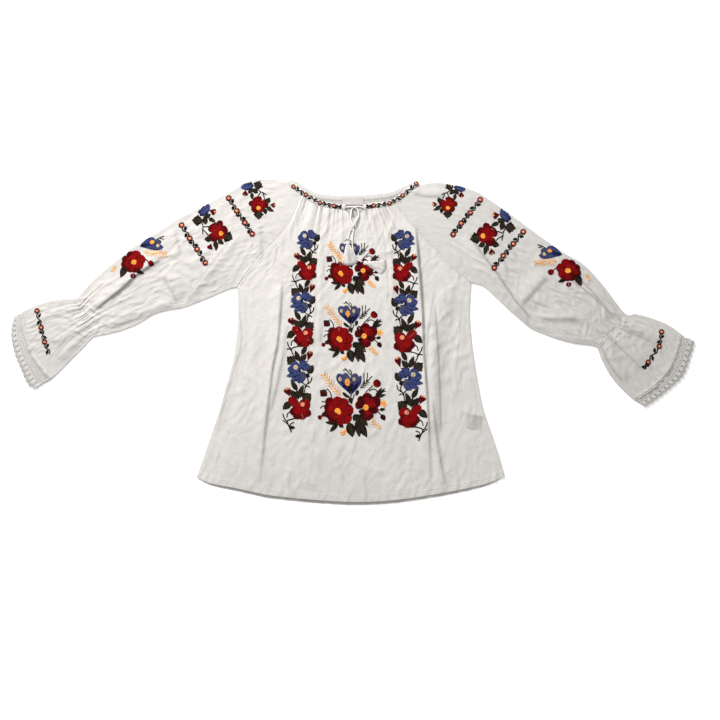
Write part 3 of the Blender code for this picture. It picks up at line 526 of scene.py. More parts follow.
def creases(p: np.ndarray) -> np.ndarray:
    """Height of the fine creases, which turn over from body to sleeves and fade at the seams."""
    body = BODY_CREASES.height(p)
    sleeves = np.where(p[:, 0] < 0, SLEEVE_CREASES[Side.LEFT].height(p), SLEEVE_CREASES[Side.RIGHT].height(p))
    beyond = smoothstep((np.abs(p[:, 0]) + 0.35 * p[:, 1] - 0.22) / 0.06)
    fade = settle(distance_to(p, SHUT_LINES), 0.006)
    return fade * ((1 - beyond) * body + beyond * sleeves)


def gather_wave(count: float, share: np.ndarray, sharp: float = 1.4) -> np.ndarray:
    """Unevenly spaced rounded ridges across a gathered edge, from 0 to 1."""
    wander = 0.22 * np.sin(2 * math.pi * 2.3 * share + 0.8) + 0.15 * np.sin(2 * math.pi * 5.1 * share)
    return (0.5 + 0.5 * np.cos(2 * math.pi * (count * share + wander))) ** sharp


@dataclass(frozen=True)
class NeckGathers:
    """Pleats that hang from the casing: broad ones that run far down, and fine ones between them."""

    broad_count: int = 14
    broad_height: float = 0.0029
    broad_length: float = 0.042
    fine_count: int = 43
    fine_height: float = 0.0016
    fine_length: float = 0.028

    def height(self, p: np.ndarray, share: np.ndarray) -> np.ndarray:
        """The pleats' height.

        Args:
            p: Plan points.
            share: Their place across the gathered edge, from 0 to 1.

        Returns:
            Heights to add to the cloth.
        """
        away = distance_to(p, list(NECK_LINES.values()))
        share = (share + 0.010 * np.sin(23.0 * share + 0.6) + 0.006 * np.sin(61.0 * share)
                 + 0.05 * away * np.sin(40 * share))
        uneven = 1 + 0.40 * np.sin(9.0 * share + 1.0) + 0.45 * np.sin(31.0 * share)
        reach = self.broad_length * uneven
        broad = self.broad_height * gather_wave(self.broad_count, share) * np.exp(-away / reach)
        far = 0.0010 * gather_wave(self.broad_count, share + 0.013, 1.0) * np.exp(-away / 0.10)
        fine = self.fine_height * (gather_wave(self.fine_count, share, 1.0) - 0.5)
        fine *= np.exp(-away / (self.fine_length * (1 + 0.5 * np.sin(37 * share))))
        return broad + far + fine


@dataclass(frozen=True)
class CinchGathers:
    """Gathers on both sides of a sleeve's elastic."""

    count: int = 7
    height: float = 0.0027
    arm_length: float = 0.040
    ruffle_length: float = 0.026
    fine_count: int = 21
    fine_height: float = 0.0010
    fine_arm_length: float = 0.020
    fine_ruffle_length: float = 0.030

    def relief(self, side: Side, p: np.ndarray, share: np.ndarray) -> np.ndarray:
        """The gathers' height.

        Args:
            side: The sleeve.
            p: Plan points.
            share: Their place across the sleeve, from the underarm edge to the shoulder edge.

        Returns:
            Heights to add to the cloth.
        """
        row = SLEEVE[side][CINCH_ROW]
        under, over = np.array(row[0:2]), np.array(row[2:4])
        across = (over - under) / np.linalg.norm(over - under)
        outward = -side.way * np.array([-across[1], across[0]])
        away = (p - under) @ outward
        reach = np.where(away > 0, self.ruffle_length, self.arm_length)
        fine_reach = np.where(away > 0, self.fine_ruffle_length, self.fine_arm_length)
        broad = self.height * gather_wave(self.count, share) * np.exp(-np.abs(away) / reach)
        fine = gather_wave(self.fine_count, share + 0.01 * np.sin(50 * away), 1.2) - 0.4
        fine *= self.fine_height * np.exp(-np.abs(away) / fine_reach)
        puckers = 0.0007 * np.cos(2 * math.pi * away / 0.0045) * np.exp(-((away / 0.009) ** 2))
        return broad + fine - puckers * gather_wave(2 * self.fine_count, share, 0.6)


# Meshes


def mesh_object(name: str, verts: np.ndarray, faces: Sequence[Sequence[int]],
                material: bpy.types.Material | None, uvs: np.ndarray | None = None,
                sharp: float = 50) -> bpy.types.Object:
    """Makes an object in the scene from points and faces.

    Args:
        name: Name of the object and its mesh.
        verts: Points, one row each.
        faces: Point numbers of each face, counter-clockwise from outside.
        material: The finish, or None for a helper.
        uvs: One row for each corner of each face.
        sharp: Edges that turn by more degrees than this stay sharp.

    Returns:
        The object, at the origin.
    """
    mesh = bpy.data.meshes.new(name)
    mesh.from_pydata(np.asarray(verts, float).tolist(), [], faces)
    if uvs is not None:
        layer = mesh.uv_layers.new(name="cloth")
        layer.data.foreach_set("uv", np.asarray(uvs, np.float32).ravel())
    if material:
        mesh.materials.append(material)
    mesh.shade_smooth()
    mesh.set_sharp_from_angle(angle=math.radians(sharp))
    obj = bpy.data.objects.new(name, mesh)
    bpy.context.scene.collection.objects.link(obj)
    return obj


def grid_faces(rows: int, columns: int, start: int = 0) -> np.ndarray:
    """Quads over a grid of points, counter-clockwise from above where rows run up and columns right."""
    index = start + np.arange(rows * columns).reshape(rows, columns)
    return np.stack([index[:-1, :-1], index[:-1, 1:], index[1:, 1:], index[1:, :-1]], axis=-1).reshape(-1, 4)


def cloth_block(name: str, plan: np.ndarray, top: np.ndarray, floor: np.ndarray, uv: np.ndarray,
                material: bpy.types.Material) -> bpy.types.Object:
    """Makes a closed wall of cloth between two surfaces over the same plan.

    Args:
        name: Name of the piece.
        plan: Plan points, indexed by row and column.
        top: Heights of the upper face.
        floor: Heights of the lower face.
        uv: Places on the flat cloth in metres, indexed like plan.
        material: The finish.

    Returns:
        The object.
    """
    rows, columns = top.shape
    count = rows * columns
    flat = plan.reshape(-1, 2)
    verts = np.vstack([np.column_stack([flat, top.ravel()]), np.column_stack([flat, floor.ravel()])])
    upper = grid_faces(rows, columns)
    index = np.arange(count).reshape(rows, columns)
    rim = np.concatenate([index[0, :-1], index[:-1, -1], index[-1, :0:-1], index[:0:-1, 0]])
    after = np.roll(rim, -1)
    walls = np.stack([rim + count, after + count, after, rim], axis=-1)
    faces = np.vstack([upper, upper[:, ::-1] + count, walls])
    corners = np.vstack([uv.reshape(-1, 2)] * 2)[faces.ravel()]
    return mesh_object(name, verts, faces.tolist(), material, corners)


def cloth_tube(name: str, outer: np.ndarray, inner: np.ndarray, around: np.ndarray, along: np.ndarray,
               material: bpy.types.Material) -> bpy.types.Object:
    """Makes a closed tube of cloth from rings of points.

    Args:
        name: Name of the piece.
        outer: Rings of the outer face, indexed by station and by place round the ring.
        inner: Rings of the inner face.
        around: Place on the flat cloth of each ring point, with one more value to close the ring.
        along: Place on the flat cloth of each station.
        material: The finish.

    Returns:
        The object.
    """
    stations, ring = outer.shape[:2]
    verts = np.vstack([outer.reshape(-1, 3), inner.reshape(-1, 3)])
    k, i = np.meshgrid(np.arange(stations - 1), np.arange(ring), indexing="ij")
    k, i = k.ravel(), i.ravel()
    j = (i + 1) % ring
    quads = np.stack([k * ring + i, k * ring + j, (k + 1) * ring + j, (k + 1) * ring + i], axis=-1)
    places = np.stack([
        np.stack([around[i], along[k]], -1), np.stack([around[i + 1], along[k]], -1),
        np.stack([around[i + 1], along[k + 1]], -1), np.stack([around[i], along[k + 1]], -1),
    ], axis=1)
    count = stations * ring
    i = np.arange(ring)
    j = (i + 1) % ring
    first = np.stack([j, i, count + i, count + j], axis=-1)
    base = (stations - 1) * ring
    last = np.stack([base + i, base + j, count + base + j, count + base + i], axis=-1)

    def rim_places(station: float) -> np.ndarray:
        """Places on the flat cloth of a rim's narrow faces."""
        here = np.full(ring, station)
        a, b = np.stack([around[i], here], -1), np.stack([around[i + 1], here], -1)
        return np.stack([a, b, b, a], axis=1)

    faces = np.vstack([quads, quads[:, ::-1] + count, first, last])
    uvs = np.vstack([places, places[:, ::-1], rim_places(along[0]), rim_places(along[-1])]).reshape(-1, 2)
    if signed_volume(verts, faces) < 0:
        faces, uvs = faces[:, ::-1], uvs.reshape(-1, 4, 2)[:, ::-1].reshape(-1, 2)
    return mesh_object(name, verts, faces.tolist(), material, uvs)


def signed_volume(verts: np.ndarray, faces: np.ndarray) -> float:
    """The volume that quads enclose, negative where they face inwards."""
    a, b, c, d = (verts[faces[:, n]] for n in range(4))
    return float(((a * np.cross(b, c)).sum() + (a * np.cross(c, d)).sum()) / 6)


class Surface:
    """What a piece rests on: rays cast straight down on finished pieces."""

    def __init__(self, pieces: Sequence[bpy.types.Object]) -> None:
        """Gathers the pieces' triangles into one tree."""
        verts, faces = [], []
        for piece in pieces:
            start = len(verts)
            verts += [tuple(v.co) for v in piece.data.vertices]
            faces += [tuple(start + i for i in face.vertices) for face in piece.data.polygons]
        self.tree = BVHTree.FromPolygons(verts, faces)

    def at(self, x: float, y: float, reach: float = 0.0) -> float:
        """The highest surface within a reach of a plan point, or 0 where there is none."""
        spots = [(0.0, 0.0)]
        if reach:
            spots += [(reach * math.cos(a), reach * math.sin(a)) for a in np.linspace(0, 2 * math.pi, 9)[:8]]
        down = Vector((0, 0, -1))
        hits = [self.tree.ray_cast(Vector((x + dx, y + dy, 0.1)), down)[0] for dx, dy in spots]
        return max((hit.z for hit in hits if hit), default=0.0)

    def over(self, plan: np.ndarray, reach: float = 0.0) -> np.ndarray:
        """The surface under each of several plan points."""
        return np.array([self.at(x, y, reach) for x, y in plan])


# Node trees


class Nodes:
    """A node tree under construction."""

    def __init__(self, tree: bpy.types.NodeTree) -> None:
        """Takes an empty tree."""
        self.tree = tree

    def add(self, kind: str, **values: object) -> bpy.types.Node:
        """Adds a node.

        Args:
            kind: The node's type.
            **values: Its own settings by name; a name that starts with in_ and a socket's name, with _ for a
                space, sets or links that input.

        Returns:
            The node.
        """
        node = self.tree.nodes.new(kind)
        for name, value in values.items():
            if not name.startswith("in_"):
                setattr(node, name, value)
        for name, value in values.items():
            if name.startswith("in_"):
                key = name[3:]
                socket = node.inputs[int(key)] if key.isdigit() else node.inputs[key.replace("_", " ")]
                if isinstance(value, bpy.types.NodeSocket):
                    self.tree.links.new(value, socket)
                else:
                    socket.default_value = value
        return node

    def math(self, operation: str, a: object, b: object = 0.0) -> bpy.types.NodeSocket:
        """Adds a sum on one or two numbers and gives its result."""
        return self.add("ShaderNodeMath", operation=operation, in_0=a, in_1=b).outputs[0]


def new_material(name: str) -> tuple[bpy.types.Material, Nodes, bpy.types.Node]:
    """Makes a material with a principled shader.

    Args:
        name: Its name.

    Returns:
        The material, its nodes and its shader.
    """
    material = bpy.data.materials.new(name)
    material.use_nodes = True
    return material, Nodes(material.node_tree), material.node_tree.nodes["Principled BSDF"]


@dataclass(frozen=True)
class CottonFinish:
    """Plain woven cotton, off-white, softly creased.

    Attributes:
        name: Name of the material.
        colour: The cloth's usual colour.
        shade: The colour in its duller patches, also darkened for the label that shows through and for painted
            crease shade.
        pitch: From one warp thread to the next.
        weave_depth: How far the threads stand out.
    """

    name: str
    colour: tuple[float, float, float]
    shade: tuple[float, float, float]
    pitch: float = 0.00062
    weave_depth: float = 0.00010

    @staticmethod
    def label_shows(n: Nodes, place: bpy.types.Node) -> bpy.types.NodeSocket:
        """Where the care label inside shows through the thin cloth: 1 on it, and 0 elsewhere."""
        away = n.add("ShaderNodeVectorRotate", rotation_type="Z_AXIS", in_Angle=0.17,
                     in_Center=(*CARE_LABEL, 0), in_Vector=place.outputs["Object"])
        at = n.add("ShaderNodeSeparateXYZ", in_Vector=away.outputs[0])
        across, along = (n.math("ABSOLUTE", n.math("SUBTRACT", at.outputs[axis], middle))
                         for axis, middle in zip("XY", CARE_LABEL))
        far = n.math("MAXIMUM", across, along)
        mask = n.add("ShaderNodeMapRange", in_Value=far, in_From_Min=0.0142, in_From_Max=0.0152,
                     in_To_Min=1.0, in_To_Max=0.0)
        return mask.outputs[0]

    def material(self) -> bpy.types.Material:
        """Builds the material: a plain weave on the flat cloth, slubs, a soft sheen, and painted shade in the
        creases.
        """
        material, n, shader = new_material(self.name)
        place = n.add("ShaderNodeTexCoord")
        flat = n.add("ShaderNodeSeparateXYZ", in_Vector=place.outputs["UV"])
        turn = 2 * math.pi / (2 * self.pitch)
        warp = n.math("SINE", n.math("MULTIPLY", flat.outputs["X"], turn))
        weft = n.math("SINE", n.math("MULTIPLY", flat.outputs["Y"], turn))
        weave = n.math("MULTIPLY", warp, weft)
        slub_place = n.add("ShaderNodeMapping", in_Vector=place.outputs["UV"], in_Scale=(1.0, 6.0, 1.0))
        slubs = n.add("ShaderNodeTexNoise", in_Vector=slub_place.outputs[0], in_Scale=330.0, in_Detail=3.0)
        patches = n.add("ShaderNodeTexNoise", in_Vector=place.outputs["Object"], in_Scale=9.0, in_Detail=4.0)
        crinkle = n.add("ShaderNodeTexNoise", in_Vector=place.outputs["Object"], in_Scale=150.0,
                        in_Detail=4.0, in_Roughness=0.62)
        tone = n.math("ADD", n.math("MULTIPLY", patches.outputs["Fac"], 0.75),
                      n.math("MULTIPLY", slubs.outputs["Fac"], 0.25))
        mottle = n.add("ShaderNodeTexNoise", in_Vector=place.outputs["Object"], in_Scale=85.0, in_Detail=5.0,
                       in_Roughness=0.7)
        tone = n.math("ADD", n.math("MULTIPLY", tone, 0.55), n.math("MULTIPLY", mottle.outputs["Fac"], 0.45))
        spread = n.add("ShaderNodeMapRange", in_Value=tone, in_From_Min=0.39, in_From_Max=0.61)
        tint = n.add("ShaderNodeMix", data_type="RGBA", in_0=spread.outputs[0])
        tint.inputs[6].default_value = (*self.shade, 1)
        tint.inputs[7].default_value = (*self.colour, 1)
        fine = n.add("ShaderNodeBump", in_Strength=0.35, in_Distance=self.weave_depth, in_Height=weave)
        soft = n.add("ShaderNodeBump", in_Strength=0.6, in_Distance=0.0011,
                     in_Height=crinkle.outputs["Fac"], in_Normal=fine.outputs[0])
        # Painted shade: the stored crease shadow darkens the colour at the foot of each fold.
        crease = n.add("ShaderNodeAttribute", attribute_name="crease")
        dark = n.math("MULTIPLY", self.label_shows(n, place),
                      n.math("ADD", n.math("MULTIPLY", mottle.outputs["Fac"], 1.4), -0.15))
        dark = n.math("MAXIMUM", dark, n.math("MULTIPLY", crease.outputs["Fac"], 0.85))
        # Mixes towards a darker tone where the care label shows through, and as painted shade in the creases.
        under = n.add("ShaderNodeMix", data_type="RGBA", in_0=dark)
        n.tree.links.new(tint.outputs[2], under.inputs[6])
        under.inputs[7].default_value = tuple(0.58 * part for part in self.shade) + (1,)
        n.tree.links.new(under.outputs[2], shader.inputs["Base Color"])
        n.tree.links.new(soft.outputs[0], shader.inputs["Normal"])
        shader.inputs["Roughness"].default_value = 0.86
        shader.inputs["Specular IOR Level"].default_value = 0.22
        shader.inputs["Sheen Weight"].default_value = 0.18
        shader.inputs["Sheen Roughness"].default_value = 0.55
        return material


@dataclass(frozen=True)
class ThreadFinish:
    """Spun cotton thread, plied, of one colour or of each stitch's own colour.

    Attributes:
        name: Name of the material.
        colour: The thread's colour, or None where each stitch carries its own.
        roughness: How dull it is.
        ply: Distance between the turns of its ply.
        depth: Depth of the grooves between them.
        gloss: How much light its surface throws back.
    """

    name: str
    colour: tuple[float, float, float] | None
    roughness: float = 0.62
    ply: float = 0.0011
    depth: float = 0.00012
    gloss: float = 0.05

    def material(self) -> bpy.types.Material:
        """Builds the material: slanting ply grooves, and a colour that varies a little along the thread."""
        material, n, shader = new_material(self.name)
        place = n.add("ShaderNodeTexCoord")
        at = n.add("ShaderNodeSeparateXYZ", in_Vector=place.outputs["Object"])
        slant = n.math("ADD", n.math("ADD", at.outputs["X"], at.outputs["Y"]),
                       n.math("MULTIPLY", at.outputs["Z"], 1.6))
        groove = n.math("SINE", n.math("MULTIPLY", slant, 2 * math.pi / self.ply))
        fuzz = n.add("ShaderNodeTexNoise", in_Vector=place.outputs["Object"], in_Scale=700.0, in_Detail=3.0)
        height = n.math("ADD", groove, n.math("MULTIPLY", fuzz.outputs["Fac"], 1.2))
        bump = n.add("ShaderNodeBump", in_Strength=0.5, in_Distance=self.depth, in_Height=height)
        level = n.add("ShaderNodeMapRange", in_Value=fuzz.outputs["Fac"], in_From_Min=0.3, in_From_Max=0.7,
                      in_To_Min=0.82, in_To_Max=1.12)
        if self.colour is None:
            stored = n.add("ShaderNodeAttribute", attribute_type="GEOMETRY", attribute_name="floss")
            own = stored.outputs["Color"]
        else:
            own = n.add("ShaderNodeRGB").outputs[0]
            own.default_value = (*self.colour, 1)
        shade = n.add("ShaderNodeVectorMath", operation="SCALE", in_0=own, in_Scale=level.outputs[0])
        n.tree.links.new(shade.outputs[0], shader.inputs["Base Color"])
        n.tree.links.new(bump.outputs[0], shader.inputs["Normal"])
        shader.inputs["Roughness"].default_value = self.roughness
        shader.inputs["Specular IOR Level"].default_value = self.gloss
        return material


@dataclass(frozen=True)
class LabelFinish:
    """A woven satin label, with nothing on it."""

    name: str
    colour: tuple[float, float, float]

    def material(self) -> bpy.types.Material:
        """Builds the material: fine weft ribs and a faint gloss."""
        material, n, shader = new_material(self.name)
        place = n.add("ShaderNodeTexCoord")
        at = n.add("ShaderNodeSeparateXYZ", in_Vector=place.outputs["Object"])
        ribs = n.math("SINE", n.math("MULTIPLY", at.outputs["Y"], 2 * math.pi / 0.00035))
        specks = n.add("ShaderNodeTexNoise", in_Vector=place.outputs["Object"], in_Scale=1500.0)
        bump = n.add("ShaderNodeBump", in_Strength=0.4, in_Distance=0.00006, in_Height=ribs)
        tint = n.add("ShaderNodeMix", data_type="RGBA", in_0=specks.outputs["Fac"])
        tint.inputs[6].default_value = (*(0.86 * c for c in self.colour), 1)
        tint.inputs[7].default_value = (*self.colour, 1)
        n.tree.links.new(tint.outputs[2], shader.inputs["Base Color"])
        n.tree.links.new(bump.outputs[0], shader.inputs["Normal"])
        shader.inputs["Roughness"].default_value = 0.48
        shader.inputs["Specular IOR Level"].default_value = 0.35
        return material


@dataclass(frozen=True)
class FloorFinish:
    """Matt pale paper under the blouse."""

    name: str = "pale_paper"
    colour: tuple[float, float, float] = (0.97, 0.97, 0.97)

    def material(self) -> bpy.types.Material:
        """Builds the material: even, with the faintest grain."""
        material, n, shader = new_material(self.name)
        place = n.add("ShaderNodeTexCoord")
        grain = n.add("ShaderNodeTexNoise", in_Vector=place.outputs["Object"], in_Scale=60.0, in_Detail=2.0)
        tint = n.add("ShaderNodeMix", data_type="RGBA", in_0=grain.outputs["Fac"])
        tint.inputs[6].default_value = (*(0.99 * c for c in self.colour), 1)
        tint.inputs[7].default_value = (*self.colour, 1)
        n.tree.links.new(tint.outputs[2], shader.inputs["Base Color"])
        shader.inputs["Roughness"].default_value = 0.95
        shader.inputs["Specular IOR Level"].default_value = 0.05
        return material


class Trees:
    """The geometry node trees that lay threads and stitches."""

    def __init__(self) -> None:
        """Builds each tree once."""
        self.scatter = self._scatter()
        self.sweep = self._sweep()
        self.row = self._row()

    @staticmethod
    def _start(
        name: str, inputs: Sequence[tuple[str, str, object]],
    ) -> tuple[Nodes, bpy.types.Node, bpy.types.Node]:
        """Makes a tree with named inputs.

        Args:
            name: The tree's name.
            inputs: Name, socket type and default of each input after the geometry.

        Returns:
            The nodes, the group's input and its output.
        """
        tree = bpy.data.node_groups.new(name, "GeometryNodeTree")
        tree.interface.new_socket("Geometry", in_out="INPUT", socket_type="NodeSocketGeometry")
        for label, kind, value in inputs:
            socket = tree.interface.new_socket(label, in_out="INPUT", socket_type=kind)
            if value is not None:
                socket.default_value = value
        tree.interface.new_socket("Geometry", in_out="OUTPUT", socket_type="NodeSocketGeometry")
        n = Nodes(tree)
        return n, n.add("NodeGroupInput"), n.add("NodeGroupOutput")

    @staticmethod
    def _finish(n: Nodes, made: bpy.types.NodeSocket, material: bpy.types.NodeSocket,
                out: bpy.types.Node) -> None:
        """Ends a tree: instances made real, and the finish set."""
        real = n.add("GeometryNodeRealizeInstances", in_Geometry=made)
        n.add("GeometryNodeSetMaterial", in_Geometry=real.outputs[0], in_Material=material)
        n.tree.links.new(n.tree.nodes[-1].outputs[0], out.inputs[0])

    def _scatter(self) -> bpy.types.NodeTree:
        """A stitch on each point, turned and sized by the point's own attributes."""
        n, start, out = self._start("scatter_stitches", [
            ("Stitch", "NodeSocketObject", None), ("Finish", "NodeSocketMaterial", None),
        ])
        stitch = n.add("GeometryNodeObjectInfo", in_Object=start.outputs["Stitch"])
        turn = n.add("GeometryNodeInputNamedAttribute", data_type="FLOAT_VECTOR", in_Name="turn")
        size = n.add("GeometryNodeInputNamedAttribute", data_type="FLOAT_VECTOR", in_Name="size")
        laid = n.add("GeometryNodeInstanceOnPoints", in_Points=start.outputs["Geometry"],
                     in_Instance=stitch.outputs["Geometry"], in_Rotation=turn.outputs["Attribute"],
                     in_Scale=size.outputs["Attribute"])
        self._finish(n, laid.outputs[0], start.outputs["Finish"], out)
        return n.tree

    def _sweep(self) -> bpy.types.NodeTree:
        """A round thread along each line of the mesh."""
        n, start, out = self._start("sweep_threads", [
            ("Radius", "NodeSocketFloat", 0.0005), ("Sides", "NodeSocketInt", 4),
            ("Finish", "NodeSocketMaterial", None),
        ])
        line = n.add("GeometryNodeMeshToCurve", in_Mesh=start.outputs["Geometry"])
        section = n.add("GeometryNodeCurvePrimitiveCircle", mode="RADIUS",
                        in_Resolution=start.outputs["Sides"], in_Radius=start.outputs["Radius"])
        tube = n.add("GeometryNodeCurveToMesh", in_Curve=line.outputs[0], in_Profile_Curve=section.outputs[0],
                     in_Fill_Caps=True)
        self._finish(n, tube.outputs[0], start.outputs["Finish"], out)
        return n.tree

    def _row(self) -> bpy.types.NodeTree:
        """A row of stitches at an even pitch along each line of the mesh."""
        n, start, out = self._start("sew_row", [
            ("Stitch", "NodeSocketObject", None), ("Pitch", "NodeSocketFloat", 0.0026),
            ("Size", "NodeSocketVector", (0.002, 0.0006, 0.0004)), ("Finish", "NodeSocketMaterial", None),
        ])
        line = n.add("GeometryNodeMeshToCurve", in_Mesh=start.outputs["Geometry"])
        points = n.add("GeometryNodeCurveToPoints", mode="LENGTH", in_Curve=line.outputs[0],
                       in_Length=start.outputs["Pitch"])
        turn = n.add("FunctionNodeAlignRotationToVector", axis="X", pivot_axis="AUTO",
                     in_Vector=points.outputs["Tangent"])
        stitch = n.add("GeometryNodeObjectInfo", in_Object=start.outputs["Stitch"])
        laid = n.add("GeometryNodeInstanceOnPoints", in_Points=points.outputs["Points"],
                     in_Instance=stitch.outputs["Geometry"], in_Rotation=turn.outputs[0],
                     in_Scale=start.outputs["Size"])
        self._finish(n, laid.outputs[0], start.outputs["Finish"], out)
        return n.tree


def grow(name: str, guide: bpy.types.Mesh, tree: bpy.types.NodeTree,
         inputs: dict[str, object]) -> bpy.types.Object:
    """Runs a geometry node tree on a guide and keeps the result as a plain mesh.

    Args:
        name: Name of the piece.
        guide: Points or lines to work on.
        tree: The tree.
        inputs: Values by the names of the tree's inputs.

    Returns:
        The piece, at the origin.
    """
    helper = bpy.data.objects.new(name + "_guide", guide)
    bpy.context.scene.collection.objects.link(helper)
    modifier = helper.modifiers.new("grow", "NODES")
    modifier.node_group = tree
    for item in tree.interface.items_tree:
        if item.item_type == "SOCKET" and item.in_out == "INPUT" and item.name in inputs:
            modifier[item.identifier] = inputs[item.name]
    graph = bpy.context.evaluated_depsgraph_get()
    mesh = bpy.data.meshes.new_from_object(helper.evaluated_get(graph), depsgraph=graph)
    helper.modifiers.remove(modifier)
    bpy.data.objects.remove(helper)
    bpy.data.meshes.remove(guide)
    mesh.name = name
    mesh.shade_smooth()
    piece = bpy.data.objects.new(name, mesh)
    bpy.context.scene.collection.objects.link(piece)
    return piece


def line_guide(name: str, lines: Sequence[np.ndarray]) -> bpy.types.Mesh:
    """A mesh of edges along lines in space."""
    verts, edges = [], []
    for line in lines:
        start = len(verts)
        verts += np.asarray(line, float).tolist()
        edges += [(start + i, start + i + 1) for i in range(len(line) - 1)]
    mesh = bpy.data.meshes.new(name)
    mesh.from_pydata(verts, edges, [])
    return mesh


def stitch_pattern(name: str) -> bpy.types.Object:
    """The pattern for one stitch, 1 long, wide and high: a spindle that dips into the cloth at its ends."""
    stations = [(-0.36, 0.96, 0.94), (0.36, 0.96, 0.94)]
    verts = [(-0.5, 0.0, -0.2)]
    for x, wide, high in stations:
        verts += [(x, -0.5 * wide, -0.2), (x, 0.5 * wide, -0.2), (x, 0.0, high)]
    verts.append((0.5, 0.0, -0.2))
    faces = [(0, 2, 1), (0, 1, 3), (0, 3, 2)]
    for ring in range(len(stations) - 1):
        a, b = 1 + 3 * ring, 4 + 3 * ring
        faces += [(a, a + 1, b + 1, b), (a + 1, a + 2, b + 2, b + 1), (a + 2, a, b, b + 2)]
    end, last = len(verts) - 1, len(verts) - 4
    faces += [(end, last, last + 1), (end, last + 1, last + 2), (end, last + 2, last)]
    return mesh_object(name, np.array(verts), faces, None, sharp=180)


def loop_pattern(name: str, sides: int = 5) -> bpy.types.Object:
    """The pattern for a length of crochet thread: a short tube, 1 long and 1 thick, that arches a little."""
    stations = [(-0.5, 0.78, 0.0), (-0.2, 1.04, 0.18), (0.2, 1.04, 0.18), (0.5, 0.78, 0.0)]
    turns = [2 * math.pi * i / sides for i in range(sides)]
    verts = [(x, 0.5 * wide * math.cos(a), lift + 0.5 * wide * math.sin(a)) for x, wide, lift in stations
             for a in turns]
    faces: list[tuple[int, ...]] = []
    for ring in range(len(stations) - 1):
        a, b = sides * ring, sides * (ring + 1)
        faces += [(a + i, a + (i + 1) % sides, b + (i + 1) % sides, b + i) for i in range(sides)]
    faces.append(tuple(reversed(range(sides))))
    faces.append(tuple(range(len(verts) - sides, len(verts))))
    return mesh_object(name, np.array(verts), faces, None, sharp=180)


@dataclass
class Stitches:
    """A growing list of stitches: where each starts and ends in space, how thick it is, and its colour."""

    starts: list[np.ndarray] = field(default_factory=list)
    ends: list[np.ndarray] = field(default_factory=list)
    sizes: list[tuple[float, float]] = field(default_factory=list)
    colours: list[tuple[float, float, float]] = field(default_factory=list)

    def add(self, start: np.ndarray, end: np.ndarray, wide: float, high: float,
            colour: tuple[float, float, float] = (1, 1, 1)) -> None:
        """Adds one stitch from start to end."""
        self.starts.append(np.asarray(start, float))
        self.ends.append(np.asarray(end, float))
        self.sizes.append((wide, high))
        self.colours.append(colour)

    def piece(self, name: str, trees: Trees, pattern: bpy.types.Object, material: bpy.types.Material,
              coloured: bool = False) -> bpy.types.Object:
        """Lays the pattern on every stitch.

        Args:
            name: Name of the piece.
            trees: The node trees.
            pattern: One stitch of size 1 along X.
            material: The finish.
            coloured: Whether each stitch carries its own colour.

        Returns:
            The piece.
        """
        a, b, size = np.array(self.starts), np.array(self.ends), np.array(self.sizes)
        way = b - a
        long = np.linalg.norm(way, axis=1)
        turn = np.stack([np.zeros(len(a)), -np.arcsin(way[:, 2] / np.maximum(long, 1e-9)),
                         np.arctan2(way[:, 1], way[:, 0])], axis=1)
        guide = bpy.data.meshes.new(name + "_points")
        guide.from_pydata(((a + b) / 2).tolist(), [], [])
        for label, kind, key, values in (
            ("turn", "FLOAT_VECTOR", "vector", turn),
            ("size", "FLOAT_VECTOR", "vector", np.column_stack([long, size])),
            *((("floss", "FLOAT_COLOR", "color", np.column_stack([self.colours, np.ones(len(a))])),)
              if coloured else ()),
        ):
            layer = guide.attributes.new(label, kind, "POINT")
            layer.data.foreach_set(key, values.astype(np.float32).ravel())
        piece = grow(name, guide, trees.scatter, {"Stitch": pattern, "Finish": material})
        for label in ("turn", "size"):
            if label in piece.data.attributes:
                piece.data.attributes.remove(piece.data.attributes[label])
        return piece


# Pieces of cloth


def eased_shares(count: int, near_start: float, near_end: float) -> np.ndarray:
    """Shares from 0 to 1, closer together at the ends.

    Args:
        count: Number of steps.
        near_start: How much closer they are at the start, 0 for even steps.
        near_end: The same at the end.

    Returns:
        count + 1 shares.
    """
    plain = np.linspace(0, 1, 400)
    weight = 1 + near_start * np.exp(-plain / 0.05) + near_end * np.exp(-(1 - plain) / 0.07)
    along = np.concatenate([[0], np.cumsum((weight[1:] + weight[:-1]) / 2)])
    return np.interp(np.linspace(0, along[-1], count + 1), along, plain)


def neck_edges(side: Side, layer: Layer) -> tuple[np.ndarray, np.ndarray]:
    """The cloth's edge along the casing, cut at the raglan seam: the sleeve's part, then the body's."""
    middle = FRONT_NECK[side] if layer is Layer.UPPER else BACK_NECK
    edge = offset(catmull_rom(middle), -CASING_WIDTH / 2 - GAP)
    if side is Side.RIGHT:
        edge = edge[::-1]
    cut = RAGLAN[side, layer][-1][0]
    corner = np.array([cut, np.interp(cut, *edge[np.argsort(edge[:, 0])].T)])
    beyond = (edge[:, 0] < cut) if side is Side.LEFT else (edge[:, 0] > cut)
    return np.vstack([edge[beyond], [corner]]), np.vstack([[corner], edge[~beyond]])


def raglan_seam(side: Side, layer: Layer, rows: int) -> np.ndarray:
    """The raglan seam's points, from the underarm to the neck."""
    corner = neck_edges(side, layer)[1][0]
    return even_steps(catmull_rom([*RAGLAN[side, layer][:-1], tuple(corner)]), rows)


def coons(bottom: np.ndarray, top: np.ndarray, left: np.ndarray, right: np.ndarray, u: np.ndarray,
          v: np.ndarray) -> np.ndarray:
    """A four-sided patch between four rows of plan points, indexed by row and column."""
    u, v = u[None, :, None], v[:, None, None]
    b, t, lo, hi = bottom[None], top[None], left[:, None], right[:, None]
    low_corners = (1 - u) * b[:, :1] + u * b[:, -1:]
    high_corners = (1 - u) * t[:, :1] + u * t[:, -1:]
    return (1 - v) * (b - low_corners) + v * (t - high_corners) + (1 - u) * lo + u * hi


